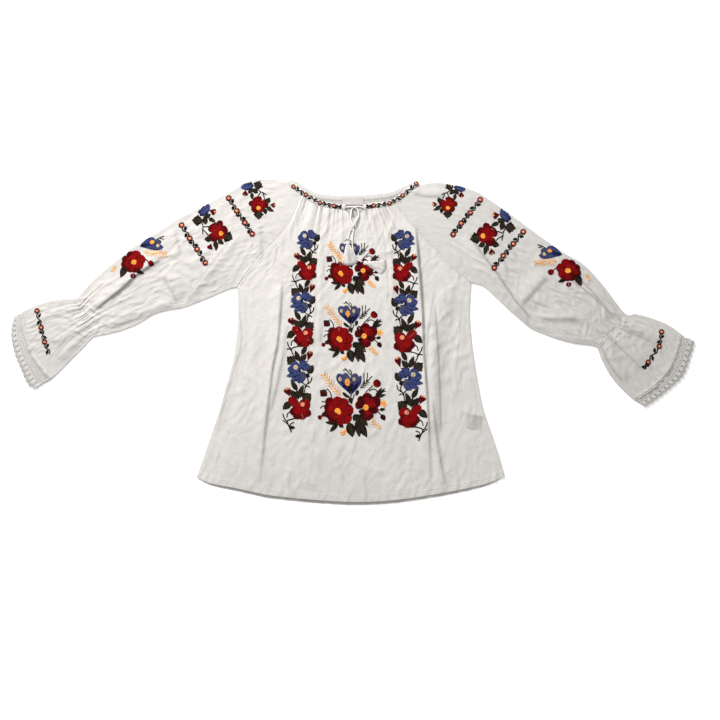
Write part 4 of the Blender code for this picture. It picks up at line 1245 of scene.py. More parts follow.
@dataclass
class BodyPanel:
    """The front or back of the body, from the hem to the neck casing.

    Attributes:
        layer: Which panel it is.
        columns: Steps across.
        side_rows: Steps up the side seam.
        raglan_rows: Steps up the raglan seam.
        wall: Thickness of the cloth.
        hem_deep: Depth of the turned hem.
        hem_thick: How far the turned hem stands up.
        roll: How far from the side seam the cloth turns down into it.
        slit_shares: Where the slit's edges and its tip lie across the top edge.
    """

    layer: Layer
    columns: int
    side_rows: int
    raglan_rows: int
    wall: float
    hem_deep: float = 0.012
    hem_thick: float = 0.0005
    roll: float = 0.0026
    slit_shares: tuple[float, float, float] = (0.45, 0.50, 0.55)

    def patch(self) -> tuple[np.ndarray, np.ndarray]:
        """Plan points of the panel by row and column, and their shares across it."""
        u = eased_shares(self.columns, 1.2, 1.2)
        if self.layer is Layer.UPPER:
            marks = [int(np.abs(u - share).argmin()) for share in self.slit_shares]
            for mark, share in zip(marks, self.slit_shares):
                u[mark] = share
        v = np.concatenate([
            np.linspace(0, UNDERARM_SHARE, self.side_rows + 1),
            np.linspace(UNDERARM_SHARE, 1, self.raglan_rows + 1)[1:],
        ])
        edges = {}
        for side in Side:
            seam = even_steps(catmull_rom(SIDE_SEAM[side]), self.side_rows)
            points = np.vstack([seam, raglan_seam(side, self.layer, self.raglan_rows)[1:]])
            edges[side] = offset(points, side.way * SEAM_GAP)
        left = neck_edges(Side.LEFT, self.layer)[1]
        right = neck_edges(Side.RIGHT, self.layer)[1][::-1]
        if self.layer is Layer.UPPER:
            runs = [left, np.array([left[-1], SLIT_TIP]), np.array([SLIT_TIP, right[0]]), right]
            cuts = [0, *marks, self.columns]
            pieces = [self._at(run, u[a : b + 1]) for run, a, b in zip(runs, cuts, cuts[1:])]
            top = np.vstack([pieces[0], *[piece[1:] for piece in pieces[1:]]])
        else:
            inside = (left[:, 0] > left[0, 0]) & (left[:, 0] < right[-1, 0])
            top = self._at(np.vstack([left[:1], left[inside], right[-1:]]), u)
        bottom = self._at(hem_line(self.layer), u)
        top[0], top[-1] = edges[Side.LEFT][-1], edges[Side.RIGHT][-1]
        bottom[0], bottom[-1] = edges[Side.LEFT][0], edges[Side.RIGHT][0]
        plan = coons(bottom, top, edges[Side.LEFT], edges[Side.RIGHT], u, v)
        return plan, np.broadcast_to(u, plan.shape[:2])

    @staticmethod
    def _at(line: np.ndarray, shares: np.ndarray) -> np.ndarray:
        """Points on a line at shares of its length, where the shares run between any two numbers."""
        along = lengths_along(line)
        want = (shares - shares[0]) / (shares[-1] - shares[0]) * along[-1]
        return np.stack([np.interp(want, along, line[:, axis]) for axis in range(2)], axis=1)

    def heights(self, flat: np.ndarray, share: np.ndarray) -> tuple[np.ndarray, np.ndarray]:
        """Heights of the upper and lower face at plan points with those shares across."""
        if self.layer is Layer.LOWER:
            near = np.exp(-distance_to(flat, [catmull_rom(BACK_NECK, 6)]) / 0.022)
            fine = 0.0006 * gather_wave(47, share, 1.0) * near
            top = BACK_TOP - 0.0002 + 0.0008 * gather_wave(20, share) * near + fine
            top += 0.12 * np.clip(BODY_CREASES.height(flat), -0.001, 0.001)
            return top, np.zeros(len(flat))
        top = cloth_top(flat) + NeckGathers().height(flat, share) + creases(flat)
        hem = distance_to(flat, [hem_line(Layer.UPPER)])
        top += self.hem_thick * smoothstep((self.hem_deep - hem) / 0.0012)
        top -= 0.0006 * np.exp(-(((hem - self.hem_deep) / 0.0012) ** 2))
        pucker = np.sin(2 * math.pi * flat[:, 0] / 0.013 + 2.5 * np.sin(31 * flat[:, 0]))
        top += 0.0005 * pucker * np.exp(-(((hem - 0.8 * self.hem_deep) / 0.006) ** 2))
        seam = distance_to(flat, [catmull_rom(RAGLAN[side, self.layer], 8) for side in Side])
        top += 0.0005 * smoothstep((0.0048 - seam) / 0.001) - 0.0005 * np.exp(-((seam / 0.0009) ** 2))
        sides = distance_to(flat, [catmull_rom(points, 6) for points in SIDE_SEAM.values()])
        drop = 1 - np.sqrt(np.clip(1 - (1 - np.clip(sides / self.roll, 0, 1)) ** 2, 0, 1))
        low = BACK_TOP + 0.0001 + self.wall
        turned = (flat - np.array(CARE_LABEL)) @ np.array([[0.985, -0.174], [0.174, 0.985]])
        label = np.abs(turned).max(axis=1)
        top += 0.00045 * smoothstep((0.0145 - label) / 0.003)
        top = np.maximum(top, EDGE_TOP - 0.0006)
        top = top - drop * (top - low)
        return top, np.maximum(top - self.wall, BACK_TOP + 0.0001)

    def build(self, material: bpy.types.Material) -> bpy.types.Object:
        """Builds the panel as one closed cloth."""
        plan, share = self.patch()
        top, floor = self.heights(plan.reshape(-1, 2), share.ravel())
        name = f"cotton_{self.layer.value}"
        return cloth_block(name, plan, top.reshape(share.shape), floor.reshape(share.shape), plan, material)


@dataclass
class Sleeve:
    """A sleeve, cinched at the wrist: one flat tube, closed by the underarm seam.

    Attributes:
        side: Which sleeve.
        across: Steps over the upper face.
        fold_steps: Steps round each fold.
        stations: Steps along it.
        upper_wall: Thickness of the upper cloth.
        lower_wall: Thickness of the lower cloth, which lies on the surface.
        cuff_hem: Depth of the turned hem at the lace.
        lower_shares: The steps over the lower cloth, as shares across it.
    """

    side: Side
    across: int = 108
    fold_steps: int = 5
    stations: int = 150
    upper_wall: float = 0.0009
    lower_wall: float = 0.0009
    cuff_hem: float = 0.008
    lower_shares: tuple[float, ...] = tuple(np.linspace(1, 0, 25))

    def armhole(self, layer: Layer, shares: np.ndarray) -> np.ndarray:
        """Where the sleeve starts: up the raglan seam, then along the casing to the shoulder fold."""
        seam = raglan_seam(self.side, layer, 40)
        neck = even_steps(neck_edges(self.side, layer)[0][::-1], 8)
        along_casing = np.vstack([neck, [SLEEVE[self.side][0][2:4]]])
        on_seam = by_share(seam, np.clip(shares / CORNER_SHARE, 0, 1))
        on_neck = by_share(along_casing, np.clip((shares - CORNER_SHARE) / (1 - CORNER_SHARE), 0, 1))
        return np.where((shares <= CORNER_SHARE + 1e-9)[:, None], on_seam, on_neck)

    def sections(self, layer: Layer, shares: np.ndarray, stations: np.ndarray) -> np.ndarray:
        """Plan points of one layer: a row for each station, a point for each share across."""
        s, v = np.asarray(shares, float), np.asarray(stations, float)
        under = by_share(catmull_rom(sleeve_edge(self.side, over=False)), v)
        over = by_share(catmull_rom(sleeve_edge(self.side, over=True)), v)
        straight = under[:, None] * (1 - s)[None, :, None] + over[:, None] * s[None, :, None]
        first = np.array(SLEEVE[self.side][0])
        start = self.armhole(layer, s) - first[:2] * (1 - s)[:, None] - first[2:] * s[:, None]
        chord = over[-1] - under[-1]
        outward = np.array([-chord[1], chord[0]]) / np.linalg.norm(chord)
        outward = outward if outward[0] * self.side.way > 0 else -outward
        bulge = CUFF_BULGE[self.side] * np.sin(math.pi * s)[:, None] * outward
        early = np.clip(1 - v / 0.22, 0, 1)[:, None, None] ** 1.5
        late = np.clip((v - 0.78) / 0.22, 0, 1)[:, None, None] ** 1.5
        return straight + early * start[None] + late * bulge[None]

    def rows_across(self, station: float, gaps: Sequence[float]) -> list[np.ndarray]:
        """Plan lines over the upper cloth, at distances in metres from a station towards the shoulder."""
        shares = np.linspace(0.02, 0.98, 90)
        pair = self.sections(Layer.UPPER, np.array([0.5]), np.array([station - 0.01, station]))
        step = np.linalg.norm(pair[1, 0] - pair[0, 0]) / 0.01
        return [self.sections(Layer.UPPER, shares, np.array([station - gap / step]))[0] for gap in gaps]

    def upper_heights(self, plan: np.ndarray, share: np.ndarray) -> np.ndarray:
        """Heights of the upper face at plan points with those shares across."""
        inside = settle(np.minimum(share, 1 - share), 0.08)
        top = cloth_top(plan) + CinchGathers().relief(self.side, plan, share) * inside + creases(plan)
        neck_away, neck_along, _ = nearest(plan, NECK_LINES[self.side])
        seam = distance_to(plan, [catmull_rom(RAGLAN[self.side, Layer.UPPER], 8)])
        pleats = 0.0024 * gather_wave(17, neck_along) + 0.0008 * gather_wave(39, neck_along, 1.0)
        top += pleats * np.exp(-neck_away / 0.026) * settle(seam, 0.006) * inside
        top += 0.0005 * smoothstep((0.0048 - seam) / 0.001) - 0.0007 * np.exp(-((seam / 0.0009) ** 2))
        cuff = distance_to(plan, [self.sections(Layer.UPPER, np.linspace(0, 1, 40), np.array([1.0]))[0]])
        top += 0.0005 * smoothstep((self.cuff_hem - cuff) / 0.001)
        top -= 0.0005 * np.exp(-(((cuff - self.cuff_hem) / 0.001) ** 2))
        return np.maximum(top, EDGE_TOP - 0.0008 * inside)

    def build(self, material: bpy.types.Material) -> bpy.types.Object:
        """Builds the sleeve as one closed tube."""
        count = len(SLEEVE[self.side]) - 1
        plain = np.linspace(0, 1, 400)
        weight = 1 + 1.2 * np.exp(-(((plain - CINCH_ROW / count) / 0.10) ** 2))
        along = np.concatenate([[0], np.cumsum((weight[1:] + weight[:-1]) / 2)])
        v = np.interp(np.linspace(0, along[-1], self.stations + 1), along, plain)
        s_top = eased_shares(self.across, 0.6, 0.6)
        s_low = np.array(self.lower_shares)
        upper, lower = self.sections(Layer.UPPER, s_top, v), self.sections(Layer.LOWER, s_low, v)
        inward = upper[:, -1] - upper[:, 0]
        inward /= np.linalg.norm(inward, axis=1)[:, None]
        radius = EDGE_TOP / 2
        pull_top, pull_low = (
            radius * np.interp(s, [0, 0.06, 0.94, 1], [1, 0, 0, -1])[None, :, None] * inward[:, None]
            for s in (s_top, s_low)
        )
        upper, lower = upper + pull_top, lower + pull_low
        shape = upper.shape[:2]
        height = self.upper_heights(upper.reshape(-1, 2), np.tile(s_top, shape[0])).reshape(shape)
        height[:, [0, -1]] = EDGE_TOP
        turn = np.linspace(0, math.pi, self.fold_steps + 2)[1:-1]
        shells = []
        for inner in (False, True):
            drop = np.full(shape[1], self.upper_wall if inner else 0.0)
            floor = self.lower_wall if inner else 0.0
            r = radius - floor
            over = np.dstack([upper, height - drop])
            under = np.dstack([lower, np.full(lower.shape[:2], floor)])
            folds = []
            for edge, way, angles in ((upper[:, -1], inward, turn[::-1]), (upper[:, 0], -inward, turn)):
                plan = edge[:, None] + r * np.sin(angles)[None, :, None] * way[:, None]
                z = np.broadcast_to(radius - r * np.cos(angles), plan.shape[:2])
                folds.append(np.dstack([plan, z]))
            shells.append(np.concatenate([over, folds[0], under, folds[1]], axis=1))
        middle = shells[0][shells[0].shape[0] // 3]
        around = lengths_along(np.vstack([middle, middle[:1]]))
        spine = shells[0][:, shape[1] // 2]
        return cloth_tube(f"cotton_sleeve_{self.side.word}", *shells, around, lengths_along(spine), material)


@dataclass
class Casing:
    """The casing of the drawstring: a narrow gathered band with a rounded back.

    Attributes:
        name: Name of the piece.
        middle: Plan points of its middle line.
        height: Its height at the crown.
        columns: Steps along it.
        ripples: Small gathers along it.
        low_end: Where along X it comes down to the back casing, or None where it lies on the surface.
        crown: Its profile, as shares of the height.
    """

    name: str
    middle: Sequence[Point]
    height: float
    columns: int
    ripples: int
    low_end: float | None = None
    crown: tuple[float, ...] = (0.30, 0.66, 0.90, 1.0, 1.0, 0.90, 0.66, 0.30)

    def floor(self, x: np.ndarray) -> np.ndarray:
        """Underside of the band at x, which comes down to the back one at the shoulder folds."""
        if self.low_end is None:
            return np.zeros_like(x)
        return 0.0034 - 0.0012 * np.exp(-(((x - self.low_end) / 0.022) ** 2))

    def build(self, material: bpy.types.Material) -> bpy.types.Object:
        """Builds the band as one closed cloth."""
        line = even_steps(catmull_rom(self.middle), self.columns)
        across = np.linspace(-0.5, 0.5, len(self.crown))
        plan = np.stack([offset(line, share * CASING_WIDTH) for share in across], axis=0)
        floor = np.broadcast_to(self.floor(line[:, 0]), plan.shape[:2])
        share = np.linspace(0, 1, len(line))
        ripple = 0.0005 * (gather_wave(self.ripples, share, 1.0) - 0.5)
        wobble = ripple[None] * (1 - (2 * across[:, None]) ** 4)
        crown = self.height * np.array(self.crown)[:, None]
        ends = settle(np.minimum(share, 1 - share), 0.006)[None]
        top = floor + crown * (0.6 + 0.4 * ends) + wobble
        uv = np.stack(np.broadcast_arrays(lengths_along(line)[None], (across * CASING_WIDTH)[:, None]), -1)
        return cloth_block(self.name, plan, top, floor, uv, material)


@dataclass
class Lace:
    """One layer of a cuff's crochet lace.

    The seam edge is close trebles, then come three rows of open mesh, and fans with a picot edge.

    Attributes:
        side: Which cuff.
        level: upper or lower.
        floor: Height of what it lies on.
        cuff: The cuff that the upper layer laps over, and None for the lower one.
        lap: How far it laps over.
        scallops: Fans along the edge.
        thread: Thickness of the crochet thread.
        dip: Depth of the dips between the fans, as a share of the lace.
    """

    side: Side
    level: str
    floor: float
    cuff: Surface | None = None
    lap: float = 0.0085
    scallops: int = 15
    thread: float = 0.0015
    dip: float = 0.10

    def __post_init__(self) -> None:
        """Works out the seam edge and the line of the tips."""
        sleeve = Sleeve(self.side)
        seam = sleeve.sections(Layer.UPPER, np.linspace(0.01, 0.99, 60), np.array([1.0]))[0]
        inward = -1.5 * SEAM_GAP if self.cuff is None else self.lap
        self.seam = even_steps(offset(seam, self.side.way * inward), 200)
        self.tips = even_steps(catmull_rom(LACE_TIPS[self.side]), 200)

    def at(self, share: float, reach: float, lift: float = 0.0) -> np.ndarray:
        """A point of the lace.

        Args:
            share: Its place along the lace.
            reach: Its place from the seam to the tips.
            lift: Its height over the middle of the thread.

        Returns:
            The point.
        """
        base, tip = by_share(self.seam, [share])[0], by_share(self.tips, [share])[0]
        plan = base + reach * (tip - base)
        wave = 0.00025 * math.sin(2 * math.pi * (share * 7.3 + reach))
        under = max(self.floor, self.cuff.at(*plan) if self.cuff else 0.0)
        return np.array([*plan, under + self.thread / 2 + 0.0001 + lift + abs(wave)])

    def edge(self, share: float) -> float:
        """How far out the scalloped edge is at a share, from the dips to the tips."""
        swing = abs(math.cos(math.pi * self.scallops * share))
        return 1 - self.dip * swing**2.2

    def build(self, trees: Trees, pattern: bpy.types.Object,
              material: bpy.types.Material) -> bpy.types.Object:
        """Crochets the lace."""
        work = Stitches()
        wide = self.thread

        def loop(a: Point, b: Point, lift: float = 0.0, thick: float = wide) -> None:
            """Lays one length of thread between two places."""
            work.add(self.at(*a, lift), self.at(*b, lift), thick, thick)

        def chain(reach: float, count: int) -> None:
            """Lays a row of chain stitches, two legs to each."""
            for i in range(count):
                a, b = i / count, (i + 1.25) / count
                for swing in (-1, 1):
                    loop((a, reach + 0.012 * swing), (min(b, 1), reach + 0.012 * swing), 0.0003)

        posts = 8 * self.scallops
        for i in range(posts):
            share = (i + 0.5) / posts
            loop((share, 0.0), (share + 0.15 / posts, 0.10), thick=1.1 * wide)
        chain(0.12, posts)
        for row, (low, high) in enumerate(((0.13, 0.27), (0.29, 0.43), (0.45, 0.59))):
            count = 3 * self.scallops
            for i in range(count):
                share = (i + 0.5 * row) / count
                for lean in (-0.34, 0.34):
                    end = min(max(share + lean / count, 0), 1)
                    loop((min(share, 1), low), (end, high), thick=1.15 * wide)
            chain(high + 0.01, 5 * self.scallops)
        for scallop in range(self.scallops):
            centre = (scallop + 0.5) / self.scallops
            for k in range(7):
                swing = (k - 3) / 3
                tip = centre + 0.47 * swing / self.scallops
                reach = self.edge(tip) - 0.05
                loop((centre + 0.17 * swing / self.scallops, 0.61), (tip, reach), 0.0002 * (k % 2))
                nxt = centre + 0.47 * min(swing + 0.33, 1) / self.scallops
                far = self.edge(nxt) - 0.05
                loop((tip, reach), (nxt, far), 0.0004)
                if k % 2 == 0:
                    picot = (tip - 0.03 / self.scallops, reach + 0.045)
                    for foot in (tip, tip + 0.04 / self.scallops):
                        loop((foot, reach), picot, 0.0001, 0.8 * wide)
        return work.piece(f"crochet_{self.side.word}_{self.level}", trees, pattern, material)


# Drawstring, tassels and labels


@dataclass
class Drawstring:
    """A free end of the drawstring: a cord of three plies, which lies over whatever is below it.

    Attributes:
        side: The end of the neck that it leaves.
        radius: Half its thickness.
        lay: Length of one turn of the plies.
        step: Distance between its rings.
        sides: Points round a ring.
        path: Its middle line in space, once it is laid.
    """

    side: Side
    radius: float = 0.0015
    lay: float = 0.0075
    step: float = 0.0008
    sides: int = 12
    path: np.ndarray = field(default_factory=lambda: np.zeros((0, 3)))

    def route(self, below: Surface) -> np.ndarray:
        """Works out the cord's middle line over what is below it."""
        dense = catmull_rom(CORD[self.side])
        count = round(lengths_along(dense)[-1] / 0.004)
        plan = even_steps(dense, count)
        floor = below.over(plan, 1.1 * self.radius)
        padded = np.pad(floor, 1, mode="edge")
        heights = np.max([padded[k : k + len(floor)] for k in range(3)], axis=0)
        for _ in range(2):
            heights = np.convolve(np.pad(heights, 1, mode="edge"), [0.25, 0.5, 0.25], mode="valid")
        heights = np.maximum(heights, floor) + self.radius + 0.0001
        knots = [tuple(row) for row in np.column_stack([plan, heights])]
        smooth = catmull_rom(knots, 6)
        return even_steps(smooth, round(lengths_along(smooth)[-1] / self.step))

    def build(self, below: Surface, material: bpy.types.Material) -> bpy.types.Object:
        """Lays the cord as one closed tube of twisted plies."""
        self.path = self.route(below)
        along = lengths_along(self.path)
        way = np.gradient(self.path, axis=0)
        way /= np.linalg.norm(way, axis=1)[:, None]
        level = np.cross(way, [0, 0, 1.0])
        level /= np.linalg.norm(level, axis=1)[:, None]
        rise = np.cross(level, way)
        angle = np.linspace(0, 2 * math.pi, self.sides, endpoint=False)
        ply = np.abs(np.cos(1.5 * (angle[None] - 2 * math.pi * along[:, None] / self.lay)))
        r = self.radius * (0.74 + 0.26 * np.sqrt(ply))
        rings = (self.path[:, None] + (r * np.cos(angle))[..., None] * level[:, None]
                 + (r * np.sin(angle))[..., None] * rise[:, None])
        count, ring = rings.shape[:2]
        k, i = (grid.ravel() for grid in np.meshgrid(np.arange(count - 1), np.arange(ring), indexing="ij"))
        j = (i + 1) % ring
        quads = np.stack([k * ring + i, k * ring + j, (k + 1) * ring + j, (k + 1) * ring + i], axis=-1)
        faces = [*quads.tolist(), list(range(ring))[::-1], [(count - 1) * ring + i for i in range(ring)]]
        verts = rings.reshape(-1, 3)
        if signed_volume(verts, quads) < 0:
            faces = [face[::-1] for face in faces]
        return mesh_object(f"cord_{self.side.word}", verts, faces, material, sharp=80)


@dataclass
class Tassel:
    """A tassel that lies on the cloth: a wound head and a skirt of loose threads.

    Attributes:
        side: The cord it hangs on.
        x: Where its head starts, across the blouse.
        y: The same, up the blouse.
        heading: The way that it points.
        length: From the top of its head to the tips.
        spread: Half the angle that its threads fan out over.
        seed: Start of its random numbers.
        threads: Threads in the skirt.
        head_long: Length of its head.
        head_half_wide: Half the head's width.
        head_half_high: Half the head's height.
        thread_radius: Half the thickness of a thread.
    """

    side: Side
    x: float
    y: float
    heading: float
    length: float
    spread: float
    seed: int
    threads: int = 112
    head_long: float = 0.0095
    head_half_wide: float = 0.0041
    head_half_high: float = 0.0026
    thread_radius: float = 0.00040

    def frame(self) -> tuple[np.ndarray, np.ndarray]:
        """The directions along the tassel and across it, in the plan."""
        ahead = np.array([math.cos(self.heading), math.sin(self.heading)])
        return ahead, np.array([-ahead[1], ahead[0]])

    def skirt(self, below: Surface) -> list[np.ndarray]:
        """The threads' lines."""
        rng = np.random.default_rng(self.seed)
        ahead, across = self.frame()
        lines = []
        for i in range(self.threads):
            share = 2 * (i + 0.5) / self.threads - 1
            level = rng.uniform(0, 1)
            turn = self.spread * (share + rng.normal(0, 0.03))
            bend = rng.normal(0, 0.05)
            reach = (self.length - self.head_long) * (1 - 0.08 * share * share) * rng.uniform(0.95, 1.0)
            start = self.head_half_wide * 0.86 * share
            points = []
            for t in np.linspace(0, 1, 8):
                out = self.head_long * 0.80 + reach * t * math.cos(turn) + 0.002 * t
                side = start + reach * math.sin(turn) * t + 0.6 * bend * reach * t * (1 - t)
                plan = np.array([self.x, self.y]) + ahead * out + across * side
                pile = (0.0036 * (1 - t) ** 0.8 + 0.0009) * level * math.sqrt(max(0.05, 1 - share * share))
                floor = below.at(plan[0], plan[1], 0.0004 if t > 0.3 else 0.0025)
                points.append((*plan, floor + self.thread_radius + 0.0001 + pile))
            lines.append(np.array(points))
        return lines

    def windings(self, below: Surface) -> list[np.ndarray]:
        """Closed turns of thread round the head, closer and tighter at the neck of the tassel."""
        ahead, across = self.frame()
        floor = below.at(self.x + ahead[0] * 0.004, self.y + ahead[1] * 0.004, 0.004)
        lines = []
        for k in range(17):
            share = k / 16
            out = 0.0004 + (self.head_long - 0.0006) * share
            swell = math.sin(math.pi * min(1.0, 0.12 + 0.80 * share)) ** 0.6
            waist = 1 - 0.34 * math.exp(-(((share - 0.80) / 0.10) ** 2))
            wide = self.head_half_wide * (0.35 + 0.65 * swell) * waist
            high = self.head_half_high * (0.45 + 0.55 * swell) * waist
            turn = np.linspace(0, 2 * math.pi, 21)
            plan = (np.array([self.x, self.y])[None] + ahead[None] * (out + 0.0003 * np.sin(turn))[:, None]
                    + across[None] * (wide * np.cos(turn))[:, None])
            z = floor + self.head_half_high + 0.0006 + high * np.sin(turn)
            lines.append(np.column_stack([plan, z]))
        return lines

    def build(self, trees: Trees, below: Surface, material: bpy.types.Material) -> bpy.types.Object:
        """Makes the tassel."""
        lines = self.skirt(below) + self.windings(below)
        core = self.head_core(below)
        piece = grow(f"tassel_{self.side.word}_threads", line_guide("tassel_lines", lines), trees.sweep,
                     {"Radius": self.thread_radius, "Sides": 4, "Finish": material})
        return joined(piece, [core])

    def head_core(self, below: Surface) -> bpy.types.Object:
        """The solid inside the windings, so that no light shows between them."""
        ahead, across = self.frame()
        floor = below.at(self.x + ahead[0] * 0.004, self.y + ahead[1] * 0.004, 0.004)
        rings = []
        for share in np.linspace(0, 1, 9):
            swell = math.sin(math.pi * min(1.0, 0.10 + 0.82 * share)) ** 0.6
            waist = 1 - 0.34 * math.exp(-(((share - 0.80) / 0.10) ** 2))
            out = 0.0002 + (self.head_long - 0.0004) * share
            wide = self.head_half_wide * (0.32 + 0.62 * swell) * waist
            high = self.head_half_high * (0.40 + 0.52 * swell) * waist
            turn = np.linspace(0, 2 * math.pi, 13)[:-1]
            plan = np.array([self.x, self.y]) + ahead * out + across * (wide * np.cos(turn))[:, None]
            z = floor + self.head_half_high + 0.0006 + high * np.sin(turn)
            rings.append(np.column_stack([plan, z]))
        verts = np.vstack(rings)
        quads = [[12 * k + i, 12 * k + (i + 1) % 12, 12 * (k + 1) + (i + 1) % 12, 12 * (k + 1) + i]
                 for k in range(8) for i in range(12)]
        faces = [*quads, list(range(12))[::-1], list(range(96, 108))]
        if signed_volume(verts, np.array(quads)) < 0:
            faces = [face[::-1] for face in faces]
        return mesh_object("tassel_core", verts, faces, None, sharp=180)


def joined(piece: bpy.types.Object, others: Sequence[bpy.types.Object]) -> bpy.types.Object:
    """Adds the meshes of other objects to a piece, in its own finish, and removes them."""
    verts = [tuple(v.co) for v in piece.data.vertices]
    faces = [tuple(f.vertices) for f in piece.data.polygons]
    for other in others:
        start = len(verts)
        verts += [tuple(v.co) for v in other.data.vertices]
        faces += [tuple(start + i for i in f.vertices) for f in other.data.polygons]
        bpy.data.objects.remove(other)
    name, material = piece.name, piece.data.materials[0]
    bpy.data.objects.remove(piece)
    return mesh_object(name, np.array(verts), faces, material, sharp=180)


@dataclass
class NeckLabel:
    """The woven label inside the back of the neck, left bare: a folded strip, stitched down at both ends."""

    x: float = 0.001
    y: float = 0.2800
    half_x: float = 0.0210
    half_y: float = 0.0066
    thick: float = 0.0006
    floor: float = 0.0024

    def build(self, material: bpy.types.Material) -> bpy.types.Object:
        """Builds the strip, a little bowed, with selvedges that stand proud."""
        u, v = np.meshgrid(np.linspace(-1, 1, 41), np.linspace(-1, 1, 13))
        plan = np.stack([self.x + u * self.half_x, self.y + v * self.half_y - 0.0004 * u * u], -1)
        bow = 0.00025 * np.sin(4.1 * u + 0.6) * (1 - v * v) + 0.0002
        selvedge = 0.00012 * (np.abs(v) > 0.84)
        pinch = -0.0002 * (np.abs(np.abs(u) - 0.93) < 0.03)
        top = self.floor + self.thick + bow + selvedge + pinch
        return cloth_block("bare_neck_label", plan, top, np.full(u.shape, self.floor), plan, material)


# Embroidery

CELL = 0.002  # the motifs are charted on squares of 2 mm, with Y up
STITCH_GAP = 0.00088
STITCH_LONG = 0.0052
CLEAR_OF_CLOTH = 0.00042  # keeps stitches out of the finest folds


class Floss(Enum):
    """The colours of thread."""

    RED = (0.205, 0.002, 0.003)
    CRIMSON = (0.075, 0.001, 0.002)
    RUST = (0.180, 0.034, 0.014)
    MAROON = (0.032, 0.002, 0.003)
    BLUE = (0.040, 0.054, 0.150)
    SLATE = (0.054, 0.060, 0.112)
    NAVY = (0.006, 0.006, 0.045)
    BLACK = (0.010, 0.008, 0.006)
    OLIVE = (0.030, 0.022, 0.012)
    ORANGE = (0.82, 0.33, 0.050)
    PEACH = (0.66, 0.26, 0.15)
    SAND = (0.50, 0.41, 0.25)
    YELLOW = (0.80, 0.38, 0.095)


@dataclass(frozen=True)
class Shading:
    """How a filled shape is coloured: its root, its tip, and the thread along its edges.

    Attributes:
        root: Thread near the root.
        tip: Thread near the tip.
        edge: Thread along both edges.
        split: Where the tip's colour begins, as a share of the length.
        rim: How wide each edge is, as a share of the width.
    """

    root: Floss
    tip: Floss
    edge: Floss
    split: float = 0.45
    rim: float = 0.07


class Tone(Enum):
    """The shadings in use."""

    BRIGHT = Shading(Floss.CRIMSON, Floss.RED, Floss.MAROON, 0.35)
    WARM = Shading(Floss.RED, Floss.RED, Floss.CRIMSON, 0.4, 0.13)
    DEEP = Shading(Floss.MAROON, Floss.CRIMSON, Floss.MAROON, 0.55)
    WINE = Shading(Floss.MAROON, Floss.MAROON, Floss.MAROON)
    RUBY = Shading(Floss.RED, Floss.CRIMSON, Floss.MAROON, 0.60, 0.12)
    SKY = Shading(Floss.NAVY, Floss.BLUE, Floss.NAVY, 0.22, 0.11)
    DUSK = Shading(Floss.NAVY, Floss.SLATE, Floss.BLUE, 0.42)
    STRIPE = Shading(Floss.SLATE, Floss.BLUE, Floss.NAVY, 0.40, 0.17)
    NIGHT = Shading(Floss.NAVY, Floss.NAVY, Floss.NAVY)
    LEAF = Shading(Floss.OLIVE, Floss.OLIVE, Floss.BLACK, 0.5, 0.28)
    DARK = Shading(Floss.BLACK, Floss.OLIVE, Floss.BLACK, 0.42, 0.28)
    INK = Shading(Floss.BLACK, Floss.BLACK, Floss.BLACK)
    GOLD = Shading(Floss.ORANGE, Floss.YELLOW, Floss.ORANGE, 0.6)
    FLAME = Shading(Floss.CRIMSON, Floss.PEACH, Floss.MAROON, 0.86)


@dataclass(frozen=True)
class Spot:
    """Where a motif is worked: its middle in cells from the origin, its turn, size and handedness."""

    x: float
    y: float
    turn: float = 0.0
    size: float = 1.0
    mirrored: bool = False

    def plan(self, points: np.ndarray) -> np.ndarray:
        """Turns a chart's cells into plan points in metres."""
        p = np.array(points, float)
        if self.mirrored:
            p[:, 0] *= -1
        c, s = math.cos(self.turn), math.sin(self.turn)
        p = self.size * p @ np.array([[c, s], [-s, c]])
        return CELL * (p + np.array([self.x, self.y]))


